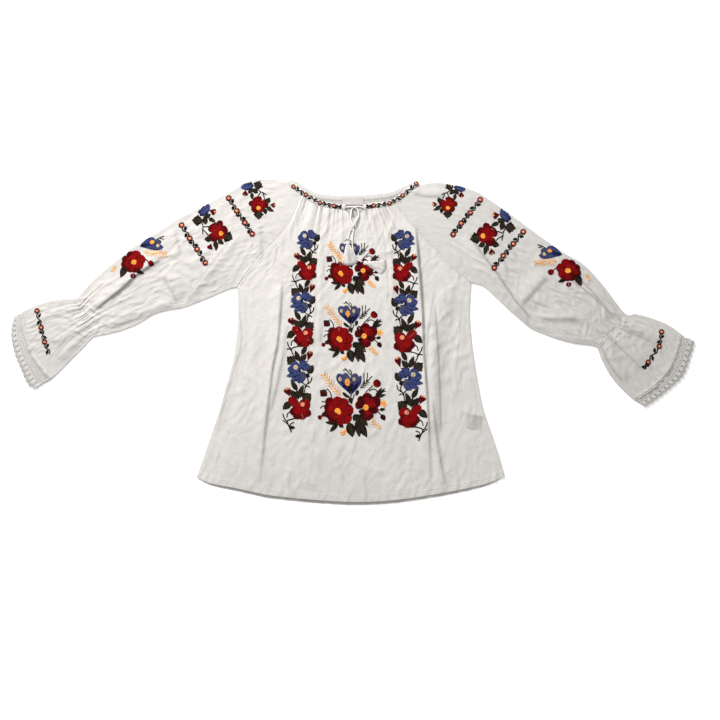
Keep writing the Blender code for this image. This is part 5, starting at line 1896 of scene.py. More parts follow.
class Needle:
    """Works stitches into a list, on the cloth."""

    def __init__(self, cloth: Surface, seed: int) -> None:
        """Takes the cloth to sew on, and the start of its random numbers."""
        self.cloth = cloth
        self.rng = np.random.default_rng(seed)
        self.work = Stitches()

    def sew(self, a: np.ndarray, b: np.ndarray, floss: Floss, wide: float, lift: float = 0.0,
            high: float = 0.00042) -> None:
        """Works one straight stitch.

        Args:
            a: Where the needle comes up, in the plan.
            b: Where it goes down.
            floss: The thread.
            wide: Width of the thread.
            lift: Height of the stitches that are already below it.
            high: Thickness of the thread.
        """
        middle = (a + b) / 2
        za, zb, zm = (self.cloth.at(*p) for p in (a, b, middle))
        if min(za, zb, zm) <= 0:
            return
        arch = max(high, zm - (za + zb) / 2 + high)
        tint = self.rng.uniform(0.80, 1.18)
        colour = tuple(float(min(1.0, c * tint)) for c in floss.value)
        lift += CLEAR_OF_CLOTH
        self.work.add((*a, za + lift), (*b, zb + lift), wide, min(arch, 0.0022), colour)

    def fill(self, outline: np.ndarray, start: np.ndarray, tip: np.ndarray, shading: Shading,
             lift: float = 0.0) -> None:
        """Fills a shape with satin stitch, in rows from its root to its tip.

        Args:
            outline: The shape's corners in the plan.
            start: Its root.
            tip: Its tip.
            shading: Its colours.
            lift: Height of the stitches below.
        """
        way = (tip - start) / np.linalg.norm(tip - start)
        across = np.array([-way[1], way[0]])
        local = np.column_stack([(outline - start) @ way, (outline - start) @ across])
        low, high = local.min(0), local.max(0)
        rows = max(1, round((high[1] - low[1]) / STITCH_GAP))
        gap = (high[1] - low[1]) / rows
        long = max(high[0] - low[0], 1e-6)
        after = np.roll(local, -1, axis=0)
        for row in range(rows):
            y = low[1] + (row + 0.5) * gap
            hit = (local[:, 1] - y) * (after[:, 1] - y) < 0
            a, b = local[hit], after[hit]
            cuts = np.sort(a[:, 0] + (y - a[:, 1]) / (b[:, 1] - a[:, 1]) * (b[:, 0] - a[:, 0]))
            edge = rows > 3 and (min(row, rows - 1 - row) + 0.5) / rows < max(shading.rim, 0.6 / rows)
            for x0, x1 in zip(cuts[::2], cuts[1::2]):
                if x1 - x0 < 0.0007:
                    continue
                count = max(1, math.ceil((x1 - x0) / STITCH_LONG))
                first, last = x0 - self.rng.uniform(0, 0.0004), x1 + self.rng.uniform(-0.0002, 0.0010)
                inner = np.linspace(first, last, count + 1)
                inner[1:-1] += self.rng.uniform(-0.35, 0.35, count - 1) * (x1 - x0) / count
                for p, q in zip(inner, inner[1:]):
                    share = ((p + q) / 2 - low[0]) / long + self.rng.uniform(-0.06, 0.06)
                    floss = shading.edge if edge else shading.root if share < shading.split else shading.tip
                    self.sew(start + way * (p - 0.0003) + across * y, start + way * (q + 0.0003) + across * y,
                             floss, 1.7 * gap, lift)

    def stem(self, points: np.ndarray, floss: Floss, wide: float = 0.0012, lift: float = 0.0) -> None:
        """Works stem stitch along a line in the plan."""
        line = catmull_rom(points, 8)
        count = max(1, round(lengths_along(line)[-1] / 0.0026))
        steps = even_steps(line, count)
        for a, b in zip(steps, steps[1:]):
            over = 0.22 * (b - a)
            self.sew(a - over, b + over, floss, wide, lift)


def spindle(start: np.ndarray, tip: np.ndarray, wide: float, belly: float, round_tip: float) -> np.ndarray:
    """The outline of a petal or leaf.

    Args:
        start: Its root.
        tip: Its tip.
        wide: Its greatest width.
        belly: Where it is widest, as a share of its length.
        round_tip: 1 for pointed ends, less for rounder ones.

    Returns:
        Corners in order round the shape.
    """
    way = tip - start
    long = np.linalg.norm(way)
    way = way / long
    across = np.array([-way[1], way[0]])
    t = np.linspace(0, 1, 15)
    power = math.log(0.5) / math.log(belly)
    half = wide / 2 * np.sin(math.pi * t**power) ** round_tip
    up = start + np.outer(t * long, way) + np.outer(half, across)
    down = start + np.outer(t * long, way) - np.outer(half, across)
    return np.vstack([up, down[-2:0:-1]])


@dataclass(frozen=True)
class Petal:
    """A filled petal or leaf from its root to its tip, in cells."""

    start: Point
    tip: Point
    wide: float
    tone: Tone
    belly: float = 0.62
    round_tip: float = 0.55
    lift: float = 0.0

    def work(self, needle: Needle, spot: Spot) -> None:
        """Fills it with satin stitch."""
        start, tip = spot.plan([self.start, self.tip])
        outline = spindle(start, tip, self.wide * CELL * spot.size, self.belly, self.round_tip)
        needle.fill(outline, start, tip, self.tone.value, self.lift)


@dataclass(frozen=True)
class Leaf:
    """A pointed leaf with a vein down its middle, in cells."""

    start: Point
    tip: Point
    wide: float
    tone: Tone = Tone.LEAF

    def work(self, needle: Needle, spot: Spot) -> None:
        """Fills its two halves towards the tip, then works the vein."""
        start, tip = spot.plan([self.start, self.tip])
        outline = spindle(start, tip, 1.05 * self.wide * CELL * spot.size, 0.42, 0.82)
        needle.fill(outline, start, tip, self.tone.value)
        if self.wide > 3.4:
            needle.stem(np.array([start, start + 0.75 * (tip - start)]), Floss.BLACK, 0.0011, 0.0003)


@dataclass(frozen=True)
class Square:
    """A square leaf with a notched edge, in cells."""

    middle: Point
    wide: float
    turn: float = 0.0
    tone: Tone = Tone.LEAF

    def work(self, needle: Needle, spot: Spot) -> None:
        """Fills it from one side to the other."""
        angle = np.radians(np.arange(0, 360, 11.25))
        reach = 0.5 / np.maximum(np.abs(np.cos(angle)), np.abs(np.sin(angle))) ** 0.72
        reach *= 1 + 0.06 * np.cos(8 * angle + 0.4)
        shape = np.stack([reach * np.cos(angle + self.turn), reach * np.sin(angle + self.turn)], -1)
        outline = spot.plan(shape * self.wide + np.array(self.middle))
        way = np.array([math.cos(self.turn + 0.5), math.sin(self.turn + 0.5)]) * self.wide / 2
        start, tip = spot.plan([np.array(self.middle) - way, np.array(self.middle) + way])
        needle.fill(outline, start, tip, self.tone.value)
        needle.stem(np.array([start, (start + tip) / 2, tip]), Floss.BLACK, 0.0009, 0.0002)


@dataclass(frozen=True)
class Eye:
    """A filled round or oval spot, in cells."""

    middle: Point
    wide: float
    floss: Floss
    high: float = 0.0
    lift: float = 0.00035

    def work(self, needle: Needle, spot: Spot) -> None:
        """Fills it with satin stitch."""
        angle = np.linspace(0, 2 * math.pi, 13)[:-1]
        high = self.high or self.wide
        shape = np.stack([0.5 * self.wide * np.cos(angle), 0.5 * high * np.sin(angle)], -1)
        outline = spot.plan(shape + np.array(self.middle))
        x, y = self.middle
        start, tip = spot.plan([(x, y - high / 2), (x, y + high / 2)])
        shade = Shading(self.floss, self.floss, self.floss)
        needle.fill(outline, start, tip, shade, self.lift)


@dataclass(frozen=True)
class Stem:
    """A line of stem stitch, in cells."""

    points: tuple[Point, ...]
    floss: Floss = Floss.BLACK
    wide: float = 0.0022

    def work(self, needle: Needle, spot: Spot) -> None:
        """Works it."""
        needle.stem(spot.plan(self.points), self.floss, self.wide * min(spot.size, 1.1))


@dataclass(frozen=True)
class Fern:
    """A sprig with leaflets in pairs, in cells."""

    start: Point
    tip: Point
    reach: float
    pairs: int
    floss: Floss = Floss.YELLOW

    def work(self, needle: Needle, spot: Spot) -> None:
        """Works the rib, then each pair of leaflets, longest in the middle."""
        a, b = np.array(self.start), np.array(self.tip)
        way = (b - a) / np.linalg.norm(b - a)
        across = np.array([-way[1], way[0]])
        needle.stem(spot.plan([a, b]), self.floss, 0.0014)
        for k in range(self.pairs):
            share = (k + 0.4) / self.pairs
            root = a + share * (b - a)
            long = self.reach * (0.62 + 0.5 * math.sin(math.pi * (0.25 + 0.6 * share)))
            for hand in (-1, 1):
                end = root + long * (0.72 * way + 0.66 * hand * across)
                p, q = spot.plan([root, end])
                needle.sew(p, (p + q) / 2 + 0.1 * (q - p), self.floss, 0.0019)
                needle.sew((p + q) / 2 - 0.1 * (q - p), q, self.floss, 0.0017)


@dataclass(frozen=True)
class Bud:
    """A bud that widens from its stem to a pale mouth, in cells."""

    start: Point
    tip: Point
    wide: float
    tone: Tone = Tone.FLAME

    def work(self, needle: Needle, spot: Spot) -> None:
        """Fills it towards its mouth."""
        start, tip = spot.plan([self.start, self.tip])
        outline = spindle(start, tip, self.wide * CELL * spot.size, 0.74, 0.75)
        needle.fill(outline, start, tip, self.tone.value)


Motif = tuple[Petal | Leaf | Square | Eye | Stem | Fern | Bud, ...]


def ring_of_petals(middle: Point, tips: Sequence[tuple[float, float, float, Tone]], root: float = 0.18,
                   lift: float = 0.0001, round_tip: float = 0.42) -> tuple[Petal, ...]:
    """Petals round a middle.

    Args:
        middle: The flower's middle.
        tips: Each petal's tip, width and tone.
        root: Where they start, as a share of the way from the middle.
        lift: How much higher each next petal lies than the one before, in turn.
        round_tip: 1 for pointed petals, less for rounder ones.

    Returns:
        The petals.
    """
    return tuple(
        Petal((middle[0] + root * (x - middle[0]), middle[1] + root * (y - middle[1])), (x, y), wide, tone,
              0.66, round_tip, lift * (n % 3))
        for n, (x, y, wide, tone) in enumerate(tips)
    )


TULIP: Motif = (
    Petal((-0.6, 9.6), (9.0, 28.4), 6.4, Tone.SKY, 0.60, 0.80),
    Petal((-1.2, 9.6), (-14.2, 30.2), 8.6, Tone.SKY, 0.72, 0.50, 0.0001),
    Petal((-0.8, 11.0), (3.8, 30.6), 8.2, Tone.DUSK, 0.72, 0.50, 0.0001),
    Petal((-1.4, 11.0), (-7.6, 31.0), 7.6, Tone.DUSK, 0.72, 0.50, 0.0002),
    Petal((-1.0, 9.4), (-10.6, 22.5), 3.0, Tone.NIGHT, 0.60, 0.8, 0.0003),
    Petal((-0.6, 9.4), (6.6, 22.8), 3.0, Tone.NIGHT, 0.60, 0.8, 0.0003),
    Eye((-2.2, 15.6), 4.4, Floss.BLACK, 4.8, 0.0004), Eye((-4.5, 21.6), 5.0, Floss.ORANGE, 7.4, 0.0005),
    Eye((-12.0, 24.8), 3.0, Floss.SAND, 4.4), Eye((2.1, 24.6), 3.2, Floss.SAND, 4.0),
    Stem(((-1.0, 28.6), (-4.4, 33.0), (-7.2, 35.8))), Stem(((-9.2, 33.6), (-6.2, 34.2))),
    Stem(((-1.0, 28.6), (-0.6, 32.0), (-2.8, 34.4))),
)
ROSE: Motif = ring_of_petals((-14.1, -7.1), (
    (-27.8, -10.0, 9.0, Tone.RUBY), (-27.4, -1.2, 9.0, Tone.RUBY), (-25.2, 5.6, 9.0, Tone.RUBY),
    (-14.6, 7.6, 9.5, Tone.WARM), (-5.4, 5.0, 9.5, Tone.WARM), (1.4, -5.4, 11.0, Tone.WARM),
    (-1.6, -17.6, 11.0, Tone.WARM), (-10.6, -20.8, 10.0, Tone.WARM), (-21.8, -17.6, 10.0, Tone.RUBY),
), 0.18, 0.0001, 0.55) + ring_of_petals((-14.1, -7.1), (
    (-21.6, -11.6, 6.6, Tone.DEEP), (-21.6, -3.0, 6.8, Tone.BRIGHT), (-15.6, 2.4, 7.6, Tone.WARM),
    (-7.2, -0.6, 8.0, Tone.WARM), (-4.6, -9.0, 8.0, Tone.WARM), (-9.6, -15.6, 7.4, Tone.WARM),
    (-16.6, -16.4, 6.6, Tone.BRIGHT),
), 0.15, 0.00012) + tuple(
    Stem((root, tip), Floss.MAROON, 0.0010) for root, tip in (
        ((-17.2, -8.6), (-22.8, -13.4)), ((-17.4, -5.0), (-22.6, -0.4)), ((-14.0, -3.6), (-13.6, 4.0)),
        ((-11.4, -10.0), (-6.4, -15.6)), ((-10.8, -5.2), (-3.0, -2.4)),
    )
) + (
    Eye((-14.6, -6.6), 5.4, Floss.ORANGE, 5.0, 0.0006), Eye((-13.0, -8.4), 4.0, Floss.ORANGE, 4.2, 0.0007),
)
DAHLIA: Motif = ring_of_petals((13.7, -3.6), (
    (7.0, 7.6, 7.6, Tone.WINE), (9.4, -11.0, 8.6, Tone.WINE), (26.2, -6.2, 8.6, Tone.DEEP),
    (17.2, -16.2, 11.0, Tone.RUBY), (3.8, 1.4, 9.6, Tone.DEEP), (28.0, 5.0, 11.4, Tone.RUBY),
    (16.0, 11.4, 10.0, Tone.RUBY),
), 0.06, 0.0001, 0.66) + ring_of_petals((13.7, -3.6), (
    (15.2, 6.4, 5.6, Tone.WARM), (22.0, 1.4, 6.4, Tone.WARM), (16.4, -10.6, 5.8, Tone.BRIGHT),
    (7.8, -0.6, 5.2, Tone.WINE), (9.8, 3.6, 5.0, Tone.WINE), (20.8, -5.4, 5.0, Tone.WINE),
), 0.1, 0.00012, 0.7) + (Eye((13.8, -3.6), 5.6, Floss.ORANGE, 5.8, 0.0006),)
BOUQUET: Motif = (
    Fern((-11.3, 8.4), (-28.4, 30.0), 5.6, 8), Fern((29.2, -24.8), (20.0, -16.6), 3.8, 4),
    Fern((8.2, 16.0), (15.4, 22.8), 3.6, 4, Floss.BLACK),
    Stem(((12.0, 19.6), (11.8, 30.8)), Floss.OLIVE), Stem(((14.8, 22.4), (15.6, 31.2)), Floss.OLIVE),
    Stem(((15.4, 22.8), (20.2, 27.8))),
    Petal((22.0, 18.2), (27.6, 22.8), 7.8, Tone.RUBY, 0.55, 0.4),
    Stem(((13.2, 11.2), (20.6, 18.4))), Stem(((17.2, 13.0), (19.8, 14.8), (23.6, 14.4), (25.8, 11.2))),
    Leaf((23.4, 6.8), (29.6, 16.4), 2.8, Tone.DARK), Leaf((25.4, 8.4), (33.0, 15.6), 2.8, Tone.DARK),
    Leaf((24.6, 6.6), (33.6, 9.8), 2.8, Tone.DARK), Stem(((27.0, 11.4), (34.2, 13.0))),
    Square((-28.4, 11.0), 6.6, 0.1, Tone.DARK), Eye((-29.0, 10.4), 4.8, Floss.CRIMSON, 4.2, 0.0003),
    Stem(((-24.8, 15.2), (-21.6, 11.2), (-19.8, 4.6))),
    Stem(((-30.2, 2.6), (-25.0, 1.8))), Stem(((-31.6, -4.2), (-29.0, -1.8), (-25.6, -2.9))),
    Petal((-29.8, -11.4), (-33.6, -14.4), 4.2, Tone.RUBY),
    Leaf((-26.0, -9.4), (-30.4, -11.6), 4.0, Tone.DARK),
    Leaf((-13.6, -18.6), (-26.6, -18.4), 4.2, Tone.DARK),
    Leaf((-14.2, -19.6), (-22.0, -27.6), 4.0, Tone.DARK),
    Leaf((-12.8, -19.8), (-8.8, -23.4), 3.6, Tone.DARK),
    Leaf((-3.0, -18.6), (0.9, -32.8), 8.4, Tone.LEAF),
    Leaf((2.6, -11.0), (15.8, -21.2), 8.0, Tone.DARK), Leaf((5.0, -15.8), (7.4, -32.6), 6.0, Tone.DARK),
    Leaf((6.8, -18.0), (14.8, -33.0), 7.0, Tone.LEAF), Leaf((3.6, -10.0), (2.0, -17.0), 4.2, Tone.DARK),
    Leaf((5.6, -11.2), (6.6, -16.6), 3.4, Tone.DARK),
    Petal((-9.0, -31.4), (-6.0, -25.0), 2.4, Tone.GOLD), Petal((-9.4, -31.4), (-11.0, -26.8), 2.2, Tone.GOLD),
    Leaf((-9.4, 11.6), (-3.4, 6.2), 2.8, Tone.DARK), Leaf((5.8, 14.0), (4.4, 8.2), 3.2, Tone.DARK),
    Stem(((-1.0, 9.4), (-1.2, 5.0), (-0.4, 0.8))), Leaf((-2.4, 6.6), (-0.4, 0.6), 4.0, Tone.DARK),
    Stem(((-6.4, 9.6), (-2.6, 7.4))), Stem(((2.4, 9.8), (0.4, 4.0))),
    *[Petal((31.4, 0.4), (31.4 + 3.6 * math.cos(a), 0.4 + 3.6 * math.sin(a)), 1.8, Tone.GOLD)
      for a in np.radians([70, 140, 215, 285, 350])],
    Leaf((27.8, -5.6), (32.8, -5.0), 2.8, Tone.INK), Stem(((21.6, -8.6), (25.4, -6.2), (29.0, -5.2))),
    Stem(((25.6, -7.2), (29.6, -11.6))), Leaf((29.2, -10.6), (33.0, -16.0), 4.6, Tone.DARK),
    Eye((31.8, -14.2), 2.8, Floss.MAROON, 3.4),
) + TULIP + ROSE + DAHLIA
BLUE_FLOWER: Motif = (
    Petal((3.2, 1.0), (10.4, 5.0), 6.2, Tone.SKY, 0.66, 0.62),
    Petal((1.8, 1.4), (5.8, 9.4), 6.4, Tone.SKY, 0.70, 0.6),
    Petal((6.2, -0.8), (-9.6, -3.4), 4.6, Tone.STRIPE, 0.56, 0.7),
    Petal((6.8, -2.2), (-6.4, -7.4), 4.6, Tone.STRIPE, 0.56, 0.7, 0.0001),
    Petal((6.8, -3.4), (-0.4, -9.0), 4.4, Tone.STRIPE, 0.56, 0.6, 0.0002),
    Petal((3.2, -0.4), (-8.4, 3.0), 6.2, Tone.SKY, 0.68, 0.55, 0.0001),
    Petal((2.4, 0.2), (-5.0, 7.4), 7.6, Tone.SKY, 0.70, 0.50, 0.0002),
    Stem(((4.4, -0.6), (-4.0, -1.0)), Floss.NAVY, 0.0012), Stem(((0.4, 4.0), (5.0, 1.2)), Floss.NAVY, 0.0012),
    Eye((-1.7, 3.6), 3.8, Floss.SAND, 3.8, 0.0005),
)
RED_FLOWER: Motif = (
    Petal((1.6, -30.4), (-8.4, -21.8), 7.6, Tone.WARM, 0.66, 0.62),
    Petal((1.0, -31.0), (-7.6, -34.6), 7.0, Tone.RUBY, 0.62, 0.6),
    Petal((1.4, -31.6), (-4.0, -39.0), 7.6, Tone.RUBY, 0.62, 0.55, 0.0001),
    Petal((1.4, -32.6), (3.2, -40.0), 7.6, Tone.WARM, 0.62, 0.55, 0.0001),
    Petal((1.8, -31.8), (9.4, -36.6), 6.6, Tone.RUBY, 0.62, 0.66, 0.0002),
    Petal((-1.6, -31.4), (9.0, -25.4), 9.6, Tone.WARM, 0.60, 0.55, 0.0001),
    Petal((-3.6, -27.2), (-0.4, -35.6), 8.0, Tone.WARM, 0.50, 0.60, 0.0002),
    Stem(((-0.4, -29.4), (-4.4, -32.6)), Floss.MAROON, 0.0011),
    Stem(((1.6, -32.0), (1.0, -37.0)), Floss.MAROON, 0.0011),
    Eye((3.0, -27.6), 3.8, Floss.PEACH, 3.6, 0.0006),
)
VINE_HEAD: Motif = BLUE_FLOWER + RED_FLOWER + (
    Leaf((8.6, -1.8), (12.8, 5.0), 5.4),
    Stem(((5.4, -2.4), (8.0, -6.0), (8.2, -9.6), (5.8, -12.4), (4.8, -17.4), (1.0, -21.6))),
    Stem(((11.6, -5.0), (10.6, -8.4), (8.0, -10.6))), Stem(((0.0, -8.8), (3.4, -9.2), (6.0, -11.8))),
    Stem(((9.4, -13.4), (7.4, -12.2), (5.6, -13.6))), Petal((5.4, -2.0), (9.4, -4.4), 3.2, Tone.INK),
    Leaf((-1.2, -15.6), (-5.8, -7.2), 3.8), Leaf((-1.6, -22.0), (-7.2, -15.0), 4.6),
    Leaf((-0.2, -21.4), (4.2, -11.2), 4.0),
    Leaf((-0.4, -23.0), (-1.6, -15.2), 2.8, Tone.DARK), Stem(((-1.2, -15.6), (-0.4, -22.0)), wide=0.0014),
    Bud((-7.0, -21.2), (-10.6, -13.2), 5.4), Square((6.6, -21.8), 7.4, -0.1),
    Stem(((-7.0, -21.2), (-3.2, -24.4))),
    Leaf((-7.0, -25.2), (-13.6, -31.2), 5.4),
    Stem(((-5.0, -31.6), (-9.6, -34.6), (-10.6, -38.0))),
    Stem(((-13.8, -34.8), (-12.8, -38.6), (-10.2, -41.8))),
)
VINE: Motif = VINE_HEAD + (
    Stem(((-1.6, -38.8), (-6.8, -39.6), (-10.4, -41.2), (-9.4, -46.0), (-5.8, -51.6))),
    Stem(((-14.6, -41.2), (-12.0, -41.0), (-10.0, -43.2))),
    Leaf((-4.0, -52.4), (-7.2, -42.8), 4.0), Leaf((-1.4, -46.4), (3.4, -38.6), 3.8),
    Leaf((-2.6, -52.6), (2.4, -46.4), 4.2),
    Stem(((-1.4, -46.4), (-3.2, -51.6)), wide=0.0014), Square((-11.2, -51.4), 7.4, 0.05),
    Bud((3.2, -53.4), (6.8, -43.8), 5.2), Stem(((-2.8, -51.8), (3.0, -53.6))),
)
VINE_FOOT: Motif = VINE_HEAD + (
    Stem(((-1.6, -38.8), (-6.8, -39.6), (-10.4, -41.2), (-8.8, -46.0), (-7.2, -50.4)), Floss.BLACK, 0.0026),
    Stem(((-14.2, -40.4), (-12.4, -41.4), (-10.2, -43.6))),
    Stem(((-4.6, -42.4), (-7.4, -43.4), (-9.0, -46.2))),
    Leaf((-8.8, -46.4), (-4.2, -46.6), 2.6, Tone.INK),
)
SPRAY: Motif = (
    Petal((-2.0, 1.0), (-9.8, 1.6), 5.6, Tone.RUBY, 0.6, 0.5),
    Petal((0.0, 1.0), (-2.4, 8.0), 9.4, Tone.RUBY, 0.6, 0.42),
    Petal((1.0, 0.6), (9.6, 1.2), 8.4, Tone.RUBY, 0.6, 0.5),
    Petal((-0.4, -0.4), (-5.8, -6.8), 7.8, Tone.RUBY, 0.6, 0.45),
    Petal((0.6, 2.6), (1.8, -7.4), 9.0, Tone.WARM, 0.55, 0.42, 0.0002),
    Eye((0.0, -3.6), 4.2, Floss.ORANGE, 3.6, 0.0006),
    Petal((-5.0, 19.4), (-17.4, 17.4), 6.4, Tone.SKY, 0.55, 0.45),
    Petal((-6.0, 20.4), (-14.6, 15.4), 4.6, Tone.STRIPE),
    Petal((-7.6, 19.0), (-9.6, 22.0), 5.0, Tone.NIGHT), Square((-0.6, 19.6), 7.2, 0.4),
    Bud((-13.0, 15.4), (-13.6, 8.8), 5.4), Leaf((-6.8, 12.0), (-6.4, 5.4), 3.2),
    Leaf((-5.6, 16.4), (-10.4, 11.8), 4.2),
    Leaf((-5.8, 15.8), (-0.8, 11.8), 4.4), Stem(((-2.2, 17.0), (1.6, 13.2), (4.2, 12.2), (7.6, 10.2))),
    Stem(((1.8, 12.2), (-0.6, 8.4))), Stem(((4.4, 12.0), (5.2, 8.6), (6.4, 5.6))),
    Leaf((8.0, 1.8), (11.0, 6.8), 4.6),
    Bud((11.2, 0.0), (16.6, -0.6), 4.8), Leaf((6.2, -3.8), (7.0, -9.4), 3.8),
    Leaf((8.2, -3.2), (15.2, -6.6), 3.2),
    Leaf((7.4, -3.0), (12.6, -2.6), 2.4, Tone.DARK), Square((0.0, -9.8), 7.4, 0.78),
)
FOLD_BOUQUET: Motif = (
    Petal((0.6, 12.2), (14.6, 19.6), 6.0, Tone.SKY),
    Petal((0.6, 11.8), (21.6, 16.2), 7.0, Tone.DUSK, 0.7, 0.5, 0.0001),
    Petal((0.6, 11.4), (23.4, 10.6), 6.4, Tone.SKY, 0.7, 0.5, 0.0002),
    Petal((0.2, 11.8), (13.0, 12.8), 3.0, Tone.NIGHT,
                                                                            0.5, 0.8, 0.0003),
    Eye((12.5, 15.4), 4.4, Floss.ORANGE, 3.6, 0.0005), Eye((18.1, 12.1), 3.4, Floss.SAND, 3.0, 0.0005),
    Stem(((16.0, 17.8), (20.6, 20.4), (24.4, 21.6))), Stem(((19.4, 19.8), (23.8, 18.6))),
    Fern((4.6, 5.2), (27.0, 3.4), 5.0, 7), Stem(((5.0, -0.6), (9.2, -4.0))),
    Petal((9.0, -4.0), (13.8, -7.4), 5.4, Tone.RUBY, 0.5, 0.45),
    Petal((-6.0, -15.6), (-6.6, -20.4), 5.0, Tone.RUBY, 0.5, 0.45),
    Leaf((-13.6, -7.6), (-18.8, -19.6), 6.4, Tone.DARK), Leaf((-3.4, -13.0), (4.0, -15.4), 3.6, Tone.DARK),
    Fern((-23.6, -7.6), (-27.4, -13.8), 2.6, 3),
) + ring_of_petals((-5.7, -4.5), (
    (5.4, 0.0, 8.4, Tone.WARM), (3.4, -9.4, 8.0, Tone.WARM), (-3.0, -14.4, 8.4, Tone.RUBY),
    (-12.0, -13.6, 8.0, Tone.RUBY),
    (-18.4, -7.6, 7.6, Tone.RUBY), (-17.6, -0.4, 7.0, Tone.RUBY), (-10.6, 6.2, 8.0, Tone.RUBY),
    (-2.2, 7.2, 8.4, Tone.WARM),
)) + ring_of_petals((-5.7, -4.5), (
    (0.2, -5.6, 6.4, Tone.WARM), (-6.6, -10.4, 6.0, Tone.DEEP), (-12.4, -4.6, 6.0, Tone.DEEP),
    (-6.6, 1.8, 6.6, Tone.WARM),
), 0.12) + (Eye((-5.7, -4.5), 5.6, Floss.ORANGE, 5.0, 0.0006),)


@dataclass(frozen=True)
class Chain:
    """A narrow border: ring flowers joined by curling stems with leaves."""

    flowers: tuple[Point, ...]
    wide: float = 6.6
    bare_end: int = 0
    bare_start: int = 0

    def work(self, needle: Needle) -> None:
        """Works the stems and leaves, then the flowers over them."""
        here = Spot(0, 0)
        p = np.array(self.flowers)
        for n, (a, b) in enumerate(zip(p, p[1:])):
            way = b - a
            across = np.array([-way[1], way[0]]) / np.linalg.norm(way)
            side = 0.46 * self.wide * (1 if n % 2 else -1) * across
            run = (a + 0.16 * way, a + 0.32 * way + 0.6 * side, a + 0.5 * way, b - 0.32 * way - 0.6 * side,
                   b - 0.16 * way)
            Stem(tuple(map(tuple, run)), Floss.BLACK, 0.0027).work(needle, here)
            for start, end in (((0.40, 0.05), (0.20, -1.10)), ((0.60, -0.05), (0.80, 1.10))):
                root, tip = (a + share * way + out * side for share, out in (start, end))
                Leaf(tuple(root), tuple(tip), 0.40 * self.wide, Tone.INK).work(needle, here)
        for x, y in p[self.bare_start:len(p) - self.bare_end]:
            half = self.wide / 2
            for a in np.linspace(0, 2 * math.pi, 11)[:-1]:
                inner = np.array([x + 0.34 * half * math.cos(a), y + 0.34 * half * math.sin(a)])
                outer = np.array([x + half * math.cos(a + 0.2), y + half * math.sin(a + 0.2)])
                s, t = here.plan([inner, outer])
                needle.sew(s, t, Floss.CRIMSON if int(a * 3) % 2 else Floss.RUST, 0.0028, 0.0002)
            Eye((x, y), 0.38 * self.wide, Floss.PEACH, 0, 0.0005).work(needle, here)


def toward(motif_step: Point, start: Point, end: Point, mirrored: bool = False) -> Spot:
    """Finds how a motif is turned and sized so that its own step runs from one point to another.

    Args:
        motif_step: The step on the motif's chart.
        start: Where the chart's middle goes, in cells.
        end: Where the step leads.
        mirrored: Whether the chart is turned over.

    Returns:
        The spot.
    """
    step = np.array([-motif_step[0] if mirrored else motif_step[0], motif_step[1]])
    way = np.array(end) - np.array(start)
    turn = math.atan2(way[1], way[0]) - math.atan2(step[1], step[0])
    return Spot(*start, turn, float(np.linalg.norm(way) / np.linalg.norm(step)), mirrored)


VINE_STEP = (-5.8, -61.8)
SPRAY_STEP = (-10.6, 19.3)
UNIT_ENDS = {
    Side.LEFT: [(-46.0, 101.6), (-51.8, 39.0), (-54.5, -30.2), (-58.8, -104.0)],
    Side.RIGHT: [(52.3, 101.2), (54.5, 36.6), (58.5, -37.5), (64.0, -113.0)],
}
EMBROIDERY: dict[str, tuple[str, list[tuple[Motif, Spot]], list[Chain]]] = {
    "bouquets": ("front", [
        (BOUQUET, Spot(-0.5, -62.5)), (BOUQUET, Spot(-0.6, 8.4, 0.0, 0.885)),
        (BOUQUET, Spot(-0.4, 73.4, 0.0, 0.80)),
    ], [
        Chain(((-59.0, 154.5), (-46.5, 146.5), (-32.5, 138.6), (-18.5, 135.4), (-9.5, 133.6)), 5.0, 1),
        Chain(((12.5, 134.0), (21.1, 135.6), (36.9, 137.9), (49.9, 145.7), (63.5, 157.5)), 5.0, 0, 1),
    ]),
    **{f"vines_{side.word}": ("front", [
        (vine, toward(VINE_STEP, start, end, side is Side.RIGHT))
        for vine, start, end in zip((VINE, VINE, VINE_FOOT), UNIT_ENDS[side], UNIT_ENDS[side][1:])
    ], []) for side in Side},
    "sleeve_left": ("left", [
        (SPRAY, toward(SPRAY_STEP, (-93.8, 136.5), (-104.4, 155.8))),
        (SPRAY, toward(SPRAY_STEP, (-134.8, 109.7), (-149.0, 131.0), mirrored=True)),
        (FOLD_BOUQUET, Spot(-212.5, 83.5)),
    ], [
        Chain(((-123.6, 143.1), (-115.5, 130.3), (-107.5, 118.5), (-100.0, 107.2))),
        Chain(((-170.7, 116.1), (-162.5, 102.9), (-155.2, 92.0), (-146.9, 78.5))),
        Chain(((-315.0, 30.5), (-311.0, 14.0), (-307.5, -0.5), (-302.0, -14.5)), 6.0, 1),
    ]),
    "sleeve_right": ("right", [
        (SPRAY, toward(SPRAY_STEP, (95.5, 136.5), (106.5, 154.0), mirrored=True)),
        (SPRAY, toward(SPRAY_STEP, (134.5, 106.5), (153.5, 125.5))),
        (FOLD_BOUQUET, Spot(209.5, 75.0, 0.0, 1.0, True)),
    ], [
        Chain(((127.5, 141.5), (117.5, 128.5), (108.5, 118.0), (100.5, 106.9))),
        Chain(((170.5, 109.5), (160.5, 97.5), (150.5, 85.5), (141.5, 73.5))),
        Chain(((308.7, 9.5), (306.2, -4.9), (295.4, -20.7), (290.0, -28.5)), 6.0, 1),
    ]),
}


# Studio


